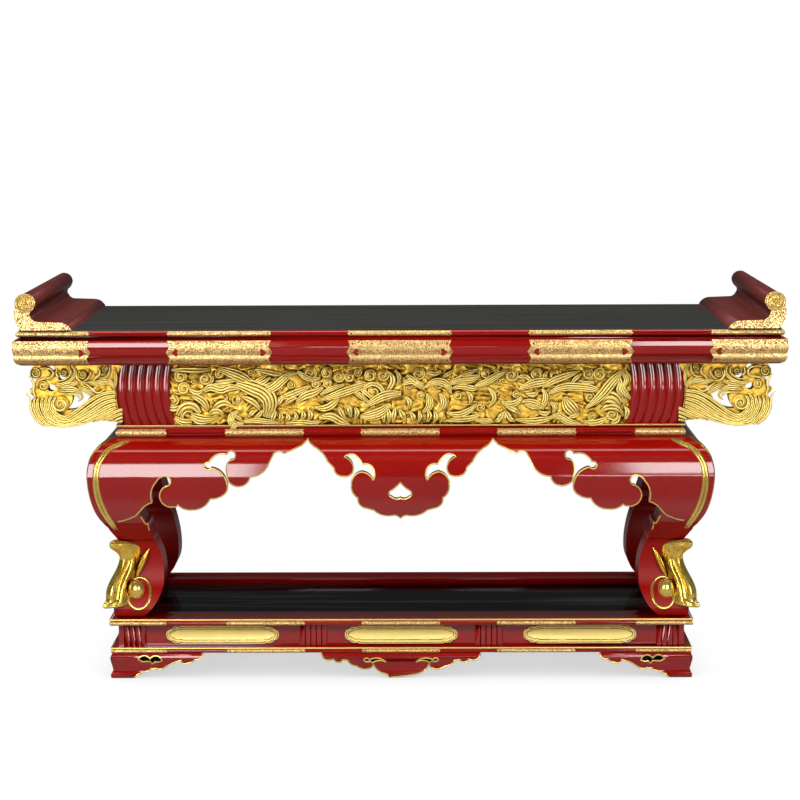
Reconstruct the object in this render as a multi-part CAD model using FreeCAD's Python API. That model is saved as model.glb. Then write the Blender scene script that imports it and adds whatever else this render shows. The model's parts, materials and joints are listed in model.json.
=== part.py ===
import FreeCAD, Part
import math
import os

# A lacquered altar table: scroll ends on a moulded top, a waist with reeded posts and a
# carved frieze, cusped bulging aprons on cat legs, and a low base frame on bracket feet.
# Millimetres. Z is 0 on the floor, the front looks along -Y, and the plan is centred.

V = FreeCAD.Vector
UP = V(0, 0, 1)
OVERRUN = 40.0          # how far a cutting tool runs past what it cuts
SAME_POINT = 0.001      # two ends of an outline closer than this are one point
JOINT_GAP = 0.15        # clearance round a tenon, tongue or dowel

# Heights of the storeys, from the floor up
foot_height = 51.0
lower_rail_height = 11.0
base_board_height = 45.0
base_rail_height = 13.0
leg_height = 364.0
mid_rail_height = 24.0
waist_height = 125.0
top_frame_height = 71.0
scroll_height = 71.4

# Plan sizes
table_width = 1515.0
table_depth = 500.0
mid_rail_width = 1128.0
mid_rail_depth = 391.0
knee_overhang = 52.5    # how far the knees stand out past the mid rail
post_setback = 1.0      # waist posts behind the face of the mid rail
base_width = 1163.0
base_depth = 446.0

# Top frame and panel
top_rail_width = 90.0
top_moulding_depth = 16.0
panel_lip = 3.0
panel_lip_setback = 12.0
panel_rebate_setback = 24.0
panel_thickness = 14.0
batten_width = 60.0
batten_thickness = 16.0
batten_spacing = 430.0

# Gilt fittings
fitting_thickness = 1.2
top_fitting_length = 202.0
top_fitting_spacing = 353.0
top_corner_reach = 150.0
mid_fitting_length = 156.0
mid_fitting_spacing = 270.0
mid_corner_reach = 100.0
base_corner_reach = 114.0
fitting_cusp = 9.0      # depth of the cusped end of a band fitting

# Scroll ends
scroll_reach = 115.7
scroll_setback = 2.5    # from the side face of the top to the outside of the scroll
scroll_end_setback = 4.0
cap_thickness = 3.0
cap_boss_radius = 13.5
cap_boss_height = 3.0

# Waist
post_size = 103.0
post_bulge = 11.0       # how far the middle of a post stands out past its foot
reed_count = 6
reed_groove_depth = 3.5
reed_groove_width = 5.0
waist_board_thickness = 14.0
waist_board_setback = 30.0
frieze_back_thickness = 12.0
carving_thickness = 15.0
carving_relief = 13.0

# Side wings
wing_reach = 184.0      # from the post outwards
wing_height = 122.0
wing_thickness = 24.0

# Mid rail
mid_rail_plan = 60.0    # width of a rail seen from above
mid_moulding_depth = 8.0
stretcher_width = 45.0
stretcher_spacing = 400.0

# Legs and aprons
leg_size = 142.0        # from the knee in to the innermost face of the leg
leg_post = 101.0        # square post behind the aprons
apron_joint = 92.0      # from the knee in to the joint between leg and apron
apron_thickness = 22.0
apron_drop = 158.0      # from the mid rail down to the lowest tip of the pendant
apron_tongue = 8.0      # height of the tongue let into the mid rail
tongue_width = 12.0
back_apron_drop = 64.0
side_apron_drop = 132.0

# Gilt bead on the leg
bead_stand_out = 1.5
leg_bead_width = 12.0

# Ball and ring on the foot of a leg
ball_radius = 14.0
ring_width = 45.0
ring_length = 59.0      # along the slope of the foot
ring_wire = 5.0
ring_slope = 24.5       # degrees that the foot leans back behind the ring

# Base
base_rail_plan = 71.0
base_moulding_depth = 7.0
lower_rail_plan = 60.0
base_board_thickness = 20.0
base_board_setback = 21.5
base_panel_thickness = 12.0
bearer_width = 50.0
bearer_thickness = 18.0
bearer_spacing = 520.0
flute_block_width = 55.0
flute_block_thickness = 6.0
flute_block_spacing = 351.0
flute_count = 5
flute_width = 7.0
flute_depth = 3.5
lobed_panel_length = 225.0
lobed_panel_height = 36.0
lobed_panel_thickness = 5.0
lobed_panel_spacing = 358.0
lobed_rim = 4.5
lobed_sink = 2.5
bracket_reach = 184.0
foot_board_thickness = 26.0
foot_moulding_depth = 16.0
pendant_width = 318.0

# Dowels, planed to eight sides
dowel_across = 12.0     # from flat to flat
dowel_length = 36.0
dowel_short = 24.0

# Levels worked out from the storeys
base_board_low = foot_height + lower_rail_height
base_rail_low = base_board_low + base_board_height
base_top = base_rail_low + base_rail_height
leg_top = base_top + leg_height
waist_low = leg_top + mid_rail_height
top_low = waist_low + waist_height
top_high = top_low + top_frame_height

# Plan sizes worked out from the driving ones
half_table = V(table_width / 2 - fitting_thickness, table_depth / 2 - fitting_thickness, 0)
half_table_fitted = V(table_width / 2, table_depth / 2, 0)
half_mid = V(mid_rail_width / 2, mid_rail_depth / 2, 0)
half_knee = V(half_mid.x + knee_overhang, half_mid.y + knee_overhang, 0)
half_post = V(half_mid.x - post_setback, half_mid.y - post_setback, 0)
half_base = V(base_width / 2, base_depth / 2, 0)

nodes = {}


# Drawing helpers

def draw(rows, place):
    """Closed face. A row of two numbers is a corner, a row of four is an arc's middle and end."""
    first = place(*rows[0])
    here = first
    edges = []
    for row in rows[1:]:
        end = place(*row[-2:])
        if len(row) == 4:
            edges.append(Part.Arc(here, place(*row[:2]), end).toShape())
        else:
            edges.append(Part.LineSegment(here, end).toShape())
        here = end
    if (here - first).Length > SAME_POINT:
        edges.append(Part.LineSegment(here, first).toShape())
    return Part.Face(Part.Wire(edges))


def mirrored_rows(rows):
    """The rows of an open half outline, run backwards with the first number negated."""
    back = [(-rows[-1][-2], rows[-1][-1])]
    for earlier, row in zip(rows[-2::-1], rows[:0:-1]):
        end = (-earlier[-2], earlier[-1])
        if len(row) == 4:
            back.append((-row[0], row[1]) + end)
        else:
            back.append(end)
    return back


def scaled_rows(rows, across, along, lift=0):
    """Shares of an outline as lengths; lift moves the whole of it up."""
    result = []
    for row in rows:
        scales = (across, along) * (len(row) // 2)
        lengths = [share * size for share, size in zip(row, scales)]
        lengths[1::2] = [length + lift for length in lengths[1::2]]
        result.append(tuple(lengths))
    return result


def block(low, high):
    """A box from its lowest to its highest corner."""
    size = high - low
    return Part.makeBox(size.x, size.y, size.z, low)


def eight_sided_bar(centre, across, length):
    """An upright bar planed to eight sides, its middle at centre."""
    half = across / 2
    corner = V(half, half * math.tan(math.pi / 8), 0)
    foot = centre - UP * (length / 2)
    ring = [foot + FreeCAD.Rotation(UP, 45 * number).multVec(corner) for number in range(8)]
    return Part.Face(Part.makePolygon(ring + ring[:1])).extrude(UP * length)


def mirror_x(shape):
    return shape.mirror(V(0, 0, 0), V(1, 0, 0))


def mirror_y(shape):
    return shape.mirror(V(0, 0, 0), V(0, 1, 0))


def turned(shape, degrees):
    copy = shape.copy()
    copy.rotate(V(0, 0, 0), UP, degrees)
    return copy


def group(shapes):
    return Part.makeCompound(list(shapes))


def at_four_corners(shape):
    """The shape at the front left, and its mirror images at the other three corners."""
    return [shape, mirror_x(shape), mirror_y(shape), mirror_x(mirror_y(shape))]


def biggest(shape):
    return max(shape.Solids, key=lambda solid: solid.Volume)


def mitred_rails(half, plan_width, rows):
    """Four rails round a rectangle, mitred at the corners. rows are (inwards, up) lengths."""
    rails = {}
    for side, angle in (("front", 0), ("right", 90), ("back", 180), ("left", 270)):
        along, across = (half.x, half.y) if angle % 180 == 0 else (half.y, half.x)
        section = draw(rows, lambda inwards, up: V(-along, inwards - across, up))
        bar = section.extrude(V(2 * along, 0, 0))
        low, high = bar.BoundBox.ZMin - OVERRUN, bar.BoundBox.ZMax + OVERRUN
        outer, inner = OVERRUN, plan_width + OVERRUN / 2
        corners = [(-along - outer, -across - outer), (along + outer, -across - outer),
                   (along - inner, -across + inner), (-along + inner, -across + inner)]
        mitre = draw(corners, lambda x, y: V(x, y, low)).extrude(UP * (high - low))
        rails[side] = turned(bar.common(mitre), angle)
    return rails


def drill(shape, dowels):
    """Blind holes for the dowels, with clearance all round."""
    for centre, length in dowels:
        hole = eight_sided_bar(centre, dowel_across + 2 * JOINT_GAP, length + 2 * JOINT_GAP)
        shape = shape.cut(hole)
    return shape


def four_corners(x, y, z):
    return [V(sx * x, sy * y, z) for sx in (-1, 1) for sy in (-1, 1)]


# Dowel places: (centre, length)

def upright_dowels(half, inset_x, inset_y, z, length):
    return [(spot, length) for spot in four_corners(half.x - inset_x, half.y - inset_y, z)]


post_dowel_inset = post_size / 2
post_dowel_edge = 20.0
leg_dowel_inset = 82.0
leg_dowel_edge = 70.5
foot_dowel_inset = 88.5
foot_dowel_edge = 67.0
dowels_post_top = upright_dowels(half_post, post_dowel_inset, post_dowel_edge, top_low, dowel_length)
dowels_post_foot = upright_dowels(half_post, post_dowel_inset, post_dowel_edge, waist_low, dowel_short)
dowels_leg_top = upright_dowels(half_knee, leg_dowel_inset, leg_dowel_edge, leg_top, dowel_length)
dowels_leg_foot = upright_dowels(half_knee, foot_dowel_inset, foot_dowel_edge, base_top, dowel_short)


# Top

top_rail_shares = [
    (1.00, 0.000), (0.41, 0.070, 0.16, 0.300), (0.00, 0.530, 0.11, 0.704),
    (0.78, 0.732), (0.78, 0.803), (0.75, 0.803), (0.41, 0.880, 0.75, 0.957)]


def top_section(half):
    """Rows of the moulded rail: band, groove and lip bead, then the rebate for the panel."""
    rows = scaled_rows(top_rail_shares, top_moulding_depth, top_frame_height, top_low)
    lip_level = top_high - panel_lip
    rows[-1] = rows[-1][:3] + (lip_level,)
    rows += [(panel_rebate_setback, lip_level), (panel_rebate_setback, top_high - panel_thickness),
             (top_rail_width, top_high - panel_thickness), (top_rail_width, top_low)]
    return mitred_rails(half, top_rail_width, rows)


def make_top():
    rails = top_section(half_table)
    for side, rail in rails.items():
        nodes["top_rail_" + side] = drill(rail, dowels_post_top)

    lip = block(V(-half_table.x + panel_lip_setback, -half_table.y + panel_lip_setback, top_high - panel_lip),
                V(half_table.x - panel_lip_setback, half_table.y - panel_lip_setback, top_high))
    seat = panel_rebate_setback + JOINT_GAP
    board = block(V(-half_table.x + seat, -half_table.y + seat, top_high - panel_thickness),
                  V(half_table.x - seat, half_table.y - seat, top_high))
    nodes["top_panel"] = lip.fuse(board).removeSplitter()

    reach = half_table.y - top_rail_width
    high = top_high - panel_thickness
    battens = []
    for place in (-1, 0, 1):
        x = place * batten_spacing
        battens.append(block(V(x - batten_width / 2, -reach, high - batten_thickness),
                             V(x + batten_width / 2, reach, high)))
    nodes["top_battens"] = group(battens)
    return rails


def fitting_mask(x_low, x_high, z_low, z_high, cusp, corner):
    """A prism that cuts one fitting out of the shell; cusp shapes its free ends."""
    middle = (z_low + z_high) / 2
    shoulder = (z_high - z_low) / 4
    rows = [(x_high, z_low), (x_high - cusp / 2, z_low + shoulder), (x_high + cusp / 3, middle),
            (x_high - cusp / 2, z_high - shoulder), (x_high, z_high)]
    if corner:
        rows += [(x_low - OVERRUN, z_high), (x_low - OVERRUN, z_low)]
    else:
        rows += [(x_low, z_high), (x_low + cusp / 2, z_high - shoulder), (x_low - cusp / 3, middle),
                 (x_low + cusp / 2, z_low + shoulder), (x_low, z_low)]
    face = draw(rows, lambda x, z: V(x, -table_width, z))
    return face.extrude(V(0, table_width, 0))


def plate_fittings(shells, half, z_low, z_high, length, spacing, corner_reach, cusp):
    """Middle plates on the front, and corner plates that turn onto the sides."""
    front = shells["front"]
    plates = []
    for place in (-1, 0, 1):
        x = place * spacing
        mask = fitting_mask(x - length / 2, x + length / 2, z_low, z_high, cusp, False)
        plates.append(front.common(mask))
    corner_front = fitting_mask(-half.x, -half.x + corner_reach, z_low, z_high, cusp, True)
    side_mask = fitting_mask(-half.y, -half.y + corner_reach, z_low, z_high, cusp, True)
    side_mask = mirror_y(turned(side_mask, 270))
    corner = front.common(corner_front).fuse(shells["left"].common(side_mask)).removeSplitter()
    plates += [corner, mirror_x(corner)]
    return group(plates)


def make_top_fittings(rails):
    fitted = top_section(half_table_fitted)
    shells = {}
    for side in ("front", "left", "right"):
        shells[side] = fitted[side].cut(group(rails.values()))
    band_low_share, band_high_share = 0.05, 0.70
    lip_low_share, lip_high_share = 0.806, 0.955
    nodes["band_fittings"] = plate_fittings(
        shells, half_table_fitted, top_low + band_low_share * top_frame_height,
        top_low + band_high_share * top_frame_height, top_fitting_length, top_fitting_spacing,
        top_corner_reach, fitting_cusp)
    nodes["lip_fittings"] = plate_fittings(
        shells, half_table_fitted, top_low + lip_low_share * top_frame_height,
        top_low + lip_high_share * top_frame_height, top_fitting_length, top_fitting_spacing,
        top_corner_reach, fitting_cusp / 3)


# A scroll end from the outside of its foot over the roll and down to the toe
scroll_shares = [
    (0.134, 0.000), (0.048, 0.235, 0.022, 0.420), (0.034, 0.590, 0.068, 0.744),
    (0.226, 1.000, 0.385, 0.744), (0.366, 0.640, 0.324, 0.543), (0.284, 0.440, 0.307, 0.350),
    (0.345, 0.268, 0.435, 0.226), (0.804, 0.204), (0.900, 0.154, 0.986, 0.000)]
scroll_roll_centre_shares = (0.226, 0.744)


def make_scroll_ends():
    outside = half_table_fitted.x - scroll_setback
    rows = scaled_rows(scroll_shares, scroll_reach, scroll_height, top_high)
    front = -half_table_fitted.y + scroll_end_setback
    back = -front

    face = draw(rows, lambda inwards, up: V(inwards - outside, front + cap_thickness, up))
    roll = face.extrude(V(0, back - front - cap_thickness, 0))
    dowels = []
    for share in (-1, 0, 1):
        spot = V(-outside + scroll_reach / 2, share * back / 2, top_high)
        dowels.append((spot, panel_thickness))
    roll = drill(roll, dowels)
    nodes["scroll_ends"] = group([roll, mirror_x(roll)])

    cap = draw(rows, lambda inwards, up: V(inwards - outside, front, up)).extrude(V(0, cap_thickness, 0))
    centre = V(-outside + scroll_roll_centre_shares[0] * scroll_reach, front,
               top_high + scroll_roll_centre_shares[1] * scroll_height)
    boss = Part.makeCylinder(cap_boss_radius, cap_boss_height, centre, V(0, -1, 0))
    cap = cap.fuse(boss).removeSplitter()
    nodes["scroll_caps"] = group([cap, mirror_x(cap)])

    both = dowels + [(V(-spot.x, spot.y, spot.z), length) for spot, length in dowels]
    nodes["top_panel"] = drill(nodes["top_panel"], both)
    return both


# Waist

post_profile_shares = [(1.00, 0.000), (0.00, 0.490, 0.64, 1.000)]


def post_solid():
    """Front left post: the same bulged profile seen from the front and from the side."""
    rows = scaled_rows(post_profile_shares, post_bulge, waist_height, waist_low)
    rows += [(post_size, top_low), (post_size, waist_low)]
    front_view = draw(rows, lambda inwards, up: V(inwards - half_post.x, -half_post.y - OVERRUN, up))
    side_view = draw(rows, lambda inwards, up: V(-half_post.x - OVERRUN, inwards - half_post.y, up))
    run = post_size + 2 * OVERRUN
    return front_view.extrude(V(0, run, 0)).common(side_view.extrude(V(run, 0, 0)))


def reed_groove():
    """One groove that follows the bulge of the front face, at the middle of the face."""
    rows = scaled_rows(post_profile_shares, post_bulge, waist_height, waist_low)
    foot = V(0, rows[0][0] - half_post.y, rows[0][1])
    middle = V(0, rows[1][0] - half_post.y, rows[1][1])
    head = V(0, rows[1][2] - half_post.y, rows[1][3])
    circle = Part.Arc(foot, middle, head).toShape().Curve
    centre, radius = circle.Center, circle.Radius
    deep = radius - reed_groove_depth
    proud = radius + reed_groove_depth
    half_width = reed_groove_width
    section = draw([(0, deep), (half_width, proud), (-half_width, proud)],
                   lambda x, out: V(x, centre.y - out, centre.z))
    ring = section.revolve(centre, V(1, 0, 0), 360)
    reach = block(V(-OVERRUN, -half_post.y - OVERRUN, waist_low - OVERRUN),
                  V(OVERRUN, -half_post.y + post_size / 2, top_low + OVERRUN))
    return ring.common(reach)


def make_posts():
    post = post_solid()
    groove = reed_groove()
    pitch = post_size / reed_count
    cutters = []
    for number in range(1, reed_count):
        cutter = groove.copy()
        cutter.translate(V(-half_post.x + number * pitch, 0, 0))
        cutters.append(cutter)
        side = turned(groove, 270)
        side.translate(V(half_post.y - half_post.x, -half_post.y + number * pitch, 0))
        cutters.append(side)
    post = post.cut(group(cutters))
    post = drill(drill(post, dowels_post_top), dowels_post_foot)
    nodes["waist_posts"] = group(at_four_corners(post))
    return post


def make_waist_boards():
    inner_x = half_post.x - post_size
    inner_y = half_post.y - post_size
    face_y = half_post.y - waist_board_setback
    face_x = half_post.x - waist_board_setback
    nodes["waist_board_back"] = block(V(-inner_x, face_y - waist_board_thickness, waist_low),
                                      V(inner_x, face_y, top_low))
    side = block(V(-face_x, -inner_y, waist_low), V(-face_x + waist_board_thickness, inner_y, top_low))
    nodes["waist_board_left"] = side
    nodes["waist_board_right"] = mirror_x(side)
    nodes["frieze_board"] = block(V(-inner_x, -face_y, waist_low),
                                  V(inner_x, -face_y + frieze_back_thickness, top_low))


# Centres of the cloud and wave heads of the frieze: share of the half length, share of the height, size
head_shares = [
    (0.08, 0.84, 0.15), (0.27, 0.80, 0.18), (0.66, 0.79, 0.18), (0.87, 0.83, 0.16),
    (0.30, 0.13, 0.17), (0.73, 0.13, 0.17)]
# Upper and lower edge of the body that winds along the frieze, from the middle outwards
body_upper_shares = [(0.00, 0.62), (0.12, 0.66, 0.22, 0.52), (0.33, 0.36, 0.45, 0.52),
                     (0.58, 0.68, 0.70, 0.56), (0.82, 0.46, 0.96, 0.60)]
body_lower_shares = [(0.96, 0.44), (0.82, 0.28, 0.68, 0.38), (0.57, 0.46, 0.47, 0.32),
                     (0.33, 0.14, 0.21, 0.30), (0.11, 0.44, 0.00, 0.38)]


def frieze_carving():
    inner = half_post.x - post_size
    face = -half_post.y + waist_board_setback
    ground = block(V(-inner, face - carving_thickness, waist_low), V(inner, face, top_low))
    front = face - carving_thickness
    shape = ground
    for sign in (-1, 1):
        rows = scaled_rows(body_upper_shares + body_lower_shares, sign * inner, waist_height, waist_low)
        body = draw(rows, lambda x, z: V(x, front - carving_relief, z)).extrude(V(0, carving_relief, 0))
        shape = shape.fuse(body)
        for across, up, size in head_shares:
            centre = V(sign * across * inner, front, waist_low + up * waist_height)
            shape = shape.fuse(Part.makeCylinder(size * waist_height, carving_relief, centre, V(0, -1, 0)))
    limits = block(V(-inner, front - OVERRUN, waist_low), V(inner, face, top_low))
    return shape.common(limits).removeSplitter()


wing_shares = [
    (0.00, 0.02), (0.00, 1.00), (0.88, 0.97), (0.94, 0.96, 0.96, 0.92), (0.975, 0.86, 0.93, 0.77),
    (0.87, 0.75), (0.93, 0.71), (0.94, 0.61), (1.00, 0.56), (0.98, 0.50, 0.94, 0.45),
    (0.975, 0.38, 0.965, 0.28), (0.93, 0.13, 0.80, 0.00), (0.63, 0.015), (0.30, 0.07)]
wing_hole_shares = [
    [(0.60, 0.23), (0.45, 0.28, 0.35, 0.44), (0.31, 0.52, 0.28, 0.60), (0.35, 0.56, 0.44, 0.53),
     (0.47, 0.55, 0.49, 0.60), (0.525, 0.54, 0.53, 0.44), (0.55, 0.33, 0.60, 0.23)],
    [(0.77, 0.94), (0.72, 0.93, 0.73, 0.88), (0.77, 0.85, 0.77, 0.94)],
    [(0.66, 0.82), (0.60, 0.80, 0.62, 0.73), (0.68, 0.74, 0.66, 0.82)],
    [(0.77, 0.65), (0.72, 0.63, 0.73, 0.55), (0.79, 0.56, 0.77, 0.65)]]


def make_wings(post):
    face = -half_post.y + post_bulge / 4
    root = -half_post.x + post_bulge
    low = top_low - wing_height

    def solid(shares):
        rows = scaled_rows(shares, -wing_reach, wing_height, low)
        return draw(rows, lambda x, z: V(root + x, face, z)).extrude(V(0, wing_thickness, 0))

    wing = solid(wing_shares)
    for hole in wing_hole_shares:
        wing = wing.cut(solid(hole))
    wing = wing.cut(post)
    nodes["wings"] = group([wing, mirror_x(wing)])


# Mid rail

mid_rail_shares = [
    (0.75, 0.00), (0.00, 0.35, 0.65, 0.68), (1.00, 0.72), (1.00, 0.86), (0.75, 0.86), (0.75, 1.00)]


def mid_section(half):
    rows = scaled_rows(mid_rail_shares, mid_moulding_depth, mid_rail_height, leg_top)
    rows += [(mid_rail_plan, waist_low), (mid_rail_plan, leg_top)]
    return mitred_rails(half, mid_rail_plan, rows)


def make_mid_rails(tongues):
    rails = mid_section(half_mid)
    for side, rail in rails.items():
        rail = rail.cut(tongues[side])
        nodes["mid_rail_" + side] = drill(drill(rail, dowels_leg_top), dowels_post_foot)
    reach = half_mid.y - mid_rail_plan
    bars = []
    for sign in (-1, 1):
        x = sign * stretcher_spacing / 2
        bars.append(block(V(x - stretcher_width / 2, -reach, leg_top),
                          V(x + stretcher_width / 2, reach, waist_low)))
    nodes["mid_stretchers"] = group(bars)

    half_fitted = V(half_mid.x + fitting_thickness, half_mid.y + fitting_thickness, 0)
    fitted = mid_section(half_fitted)
    shells = {side: fitted[side].cut(group(rails.values())) for side in ("front", "left")}
    low_share, high_share = 0.02, 0.66
    nodes["mid_fittings"] = plate_fittings(
        shells, half_fitted, leg_top + low_share * mid_rail_height, leg_top + high_share * mid_rail_height,
        mid_fitting_length, mid_fitting_spacing, mid_corner_reach, fitting_cusp / 3)


# Legs and aprons. Inwards is a share of leg_size, up is a share of leg_height.

knee_shares = [
    (0.426, 1.000), (0.288, 0.988, 0.104, 0.938), (0.030, 0.879, 0.000, 0.801),
    (0.032, 0.689, 0.182, 0.540), (0.356, 0.437)]
shin_shares = [
    (0.528, 0.300, 0.420, 0.150), (0.330, 0.095, 0.290, 0.050), (0.305, 0.014, 0.400, 0.000),
    (0.676, 0.000), (0.875, 0.073, 0.978, 0.173), (0.983, 0.258, 0.878, 0.420),
    (0.811, 0.505), (0.806, 0.538), (0.777, 0.530), (0.710, 0.592)]


def bulge_rows(inset):
    """The knee profile moved inwards by inset, from the top down."""
    rows = scaled_rows(knee_shares, leg_size, leg_height, base_top)
    if inset:
        moved = []
        for row in rows:
            across = [length + inset for length in row[0::2]]
            moved.append(tuple(value for pair in zip(across, row[1::2]) for value in pair))
        rows = moved
    return rows


def square_section(rows):
    """The front left solid whose front view and side view are both the same outline."""
    run = leg_size + 2 * OVERRUN
    front_view = draw(rows, lambda inwards, up: V(inwards - half_knee.x, -half_knee.y - OVERRUN, up))
    side_view = draw(rows, lambda inwards, up: V(-half_knee.x - OVERRUN, inwards - half_knee.y, up))
    return front_view.extrude(V(0, run, 0)).common(side_view.extrude(V(run, 0, 0)))


def apron_section(bottom, thickness, gap=0):
    """Rows (inwards, up) of an apron board: bulged outside, parallel inside, tongue on top."""
    outer = bulge_rows(-gap)
    inner = bulge_rows(thickness + gap)
    back = [(inner[-1][-2], inner[-1][-1])]
    for earlier, row in zip(inner[-2::-1], inner[:0:-1]):
        end = (earlier[-2], earlier[-1])
        back.append((row[0], row[1]) + end if len(row) == 4 else end)
    rows = outer + back
    return rows


def apron_bar(half_along, half_across, gap=0):
    """A bulged bar along X at the front, before its lower edge is cut."""
    rows = apron_section(base_top, apron_thickness, gap)
    face = draw(rows, lambda inwards, up: V(-half_along, inwards - half_across, up))
    return face.extrude(V(2 * half_along, 0, 0))


def tongue_bar(half_along, half_across, gap=0):
    middle = knee_shares[0][0] * leg_size + apron_thickness / 2
    low = V(-half_along - gap, middle - tongue_width / 2 - gap - half_across, leg_top - gap)
    high = V(half_along + gap, middle + tongue_width / 2 + gap - half_across, leg_top + apron_tongue + gap)
    return block(low, high)


# Lower edge of the front apron from its joint at the leg to the tip of the pendant.
# Across is a share of the half width at the knee, down is a share of apron_drop.
front_edge_shares = [
    (0.8508, 0.957), (0.8330, 0.882), (0.8160, 0.815, 0.7955, 0.778),
    (0.7970, 0.640, 0.7800, 0.510), (0.7690, 0.461, 0.7541, 0.438), (0.7330, 0.500, 0.7485, 0.566),
    (0.7637, 0.617, 0.7703, 0.692), (0.7648, 0.769, 0.7385, 0.839), (0.7190, 0.835),
    (0.7126, 0.812), (0.6940, 0.864, 0.6683, 0.878), (0.6375, 0.851, 0.6091, 0.733),
    (0.5850, 0.720, 0.5685, 0.687), (0.5531, 0.608, 0.5541, 0.528), (0.5677, 0.415, 0.6050, 0.339),
    (0.6261, 0.304, 0.6115, 0.270), (0.6000, 0.212, 0.5848, 0.175), (0.5710, 0.168, 0.5540, 0.175),
    (0.5265, 0.197, 0.5410, 0.244), (0.5476, 0.257), (0.5548, 0.329, 0.5540, 0.399),
    (0.5484, 0.506), (0.5142, 0.572, 0.4795, 0.450), (0.4380, 0.389, 0.4201, 0.288),
    (0.4063, 0.184), (0.3942, 0.146, 0.3713, 0.168), (0.3148, 0.077),
    (0.2966, 0.012), (0.2931, 0.035), (0.2820, 0.075, 0.2663, 0.108),
    (0.2466, 0.172, 0.2303, 0.269), (0.2112, 0.341), (0.1980, 0.430, 0.1810, 0.447),
    (0.1600, 0.430, 0.1491, 0.329), (0.1560, 0.268, 0.1778, 0.210), (0.1604, 0.175, 0.1444, 0.186),
    (0.1316, 0.227, 0.1200, 0.297), (0.0960, 0.306, 0.0821, 0.391), (0.0815, 0.445, 0.0869, 0.492),
    (0.0965, 0.438, 0.1220, 0.391), (0.1465, 0.440, 0.1557, 0.554), (0.1520, 0.650, 0.1354, 0.724),
    (0.1300, 0.810, 0.1090, 0.860), (0.0848, 0.887), (0.0720, 0.927, 0.0209, 0.956),
    (0.0080, 0.970, 0.0000, 1.000)]
heart_shares = [
    (0.0000, 0.524), (0.0120, 0.575, 0.0266, 0.621), (0.0360, 0.680, 0.0266, 0.718),
    (0.0130, 0.742, 0.0000, 0.726)]
# Lower edge of a side apron, across as a share of its half length between the joints
side_edge_shares = [
    (1.00, 1.00), (0.88, 0.90, 0.80, 0.72), (0.68, 0.60, 0.52, 0.62), (0.46, 0.44, 0.34, 0.38),
    (0.26, 0.52, 0.14, 0.60), (0.00, 0.84)]


def cut_below(bar, half_rows, half_across, gap=0):
    """Keep the part of a bar above an outline given for one half, mirrored to the other."""
    top = leg_top + OVERRUN
    whole = half_rows + mirrored_rows(half_rows)[1:]
    reach, low = half_rows[0][0] + OVERRUN, half_rows[0][1]
    rows = [(reach, top), (reach, low)] + whole + [(-reach, low), (-reach, top)]
    keep = draw(rows, lambda x, z: V(-x, -half_across - OVERRUN, z - gap))
    return bar.common(keep.extrude(V(0, half_across, 0)))


def make_legs_and_aprons():
    joint_x = half_knee.x - apron_joint
    joint_y = half_knee.y - apron_joint
    outline = bulge_rows(0) + scaled_rows(shin_shares, leg_size, leg_height, base_top)
    leg = square_section(outline + [(leg_post, leg_top)])

    # Room for the ends of the front and side aprons
    front_room = apron_bar(joint_x + JOINT_GAP, half_knee.y, JOINT_GAP)
    side_room = apron_bar(joint_y + JOINT_GAP, half_knee.x, JOINT_GAP)

    # Front apron
    edge = scaled_rows(front_edge_shares, half_knee.x, -apron_drop, leg_top)
    front = apron_bar(joint_x, half_knee.y)
    front = cut_below(front, edge, half_knee.y)
    heart = scaled_rows(heart_shares, half_knee.x, -apron_drop, leg_top)
    heart = heart + mirrored_rows(heart)[1:]
    hole = draw(heart, lambda x, z: V(x, -half_knee.y - OVERRUN, z)).extrude(V(0, half_knee.y, 0))
    front_tongue = tongue_bar(joint_x, half_knee.y)
    front = front.cut(hole).fuse(front_tongue).removeSplitter()
    nodes["apron_front"] = front

    # Back apron: plain and shallow
    back = apron_bar(joint_x, half_knee.y)
    back = back.common(block(V(-joint_x, -half_knee.y - OVERRUN, leg_top - back_apron_drop),
                             V(joint_x, 0, leg_top)))
    nodes["apron_back"] = turned(back.fuse(front_tongue).removeSplitter(), 180)

    # Side aprons
    side = apron_bar(joint_y, half_knee.x)
    side_edge = scaled_rows(side_edge_shares, joint_y, -side_apron_drop, leg_top)
    side = cut_below(side, side_edge, half_knee.x)
    side_tongue = tongue_bar(joint_y, half_knee.x)
    side = side.fuse(side_tongue).removeSplitter()
    nodes["apron_left"] = turned(side, 270)
    nodes["apron_right"] = turned(side, 90)

    # Legs, cut to seat the aprons
    side_room = turned(cut_below(side_room, side_edge, half_knee.x, JOINT_GAP), 270)
    front_leg = leg.cut(cut_below(front_room, edge, half_knee.y, JOINT_GAP)).cut(side_room)
    back_room = front_room.common(
        block(V(-half_knee.x, -half_knee.y - OVERRUN, leg_top - back_apron_drop - JOINT_GAP),
              V(half_knee.x, 0, leg_top + OVERRUN)))
    back_leg = mirror_y(leg.cut(back_room)).cut(side_room)
    for name, shape in (("front_legs", front_leg), ("back_legs", back_leg)):
        shape = drill(drill(shape, dowels_leg_top), dowels_leg_foot)
        nodes[name] = group([shape, mirror_x(shape)])

    tongues = {}
    front_slot = tongue_bar(joint_x, half_knee.y, JOINT_GAP)
    side_slot = tongue_bar(joint_y, half_knee.x, JOINT_GAP)
    for side_name, slot, angle in (("front", front_slot, 0), ("right", side_slot, 90),
                                   ("back", front_slot, 180), ("left", side_slot, 270)):
        tongues[side_name] = turned(slot, angle)
    return leg, tongues


# Gilt leaf, ball and ring on the foot. Inwards is a share of leg_size, up of leg_height.

leaf_profile_shares = [
    (0.250, 0.085), (0.150, 0.082), (0.195, 0.110), (0.205, 0.180), (0.300, 0.270, 0.385, 0.335),
    (0.380, 0.360, 0.300, 0.378), (0.255, 0.405, 0.320, 0.435), (0.400, 0.440), (0.620, 0.420)]
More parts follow.
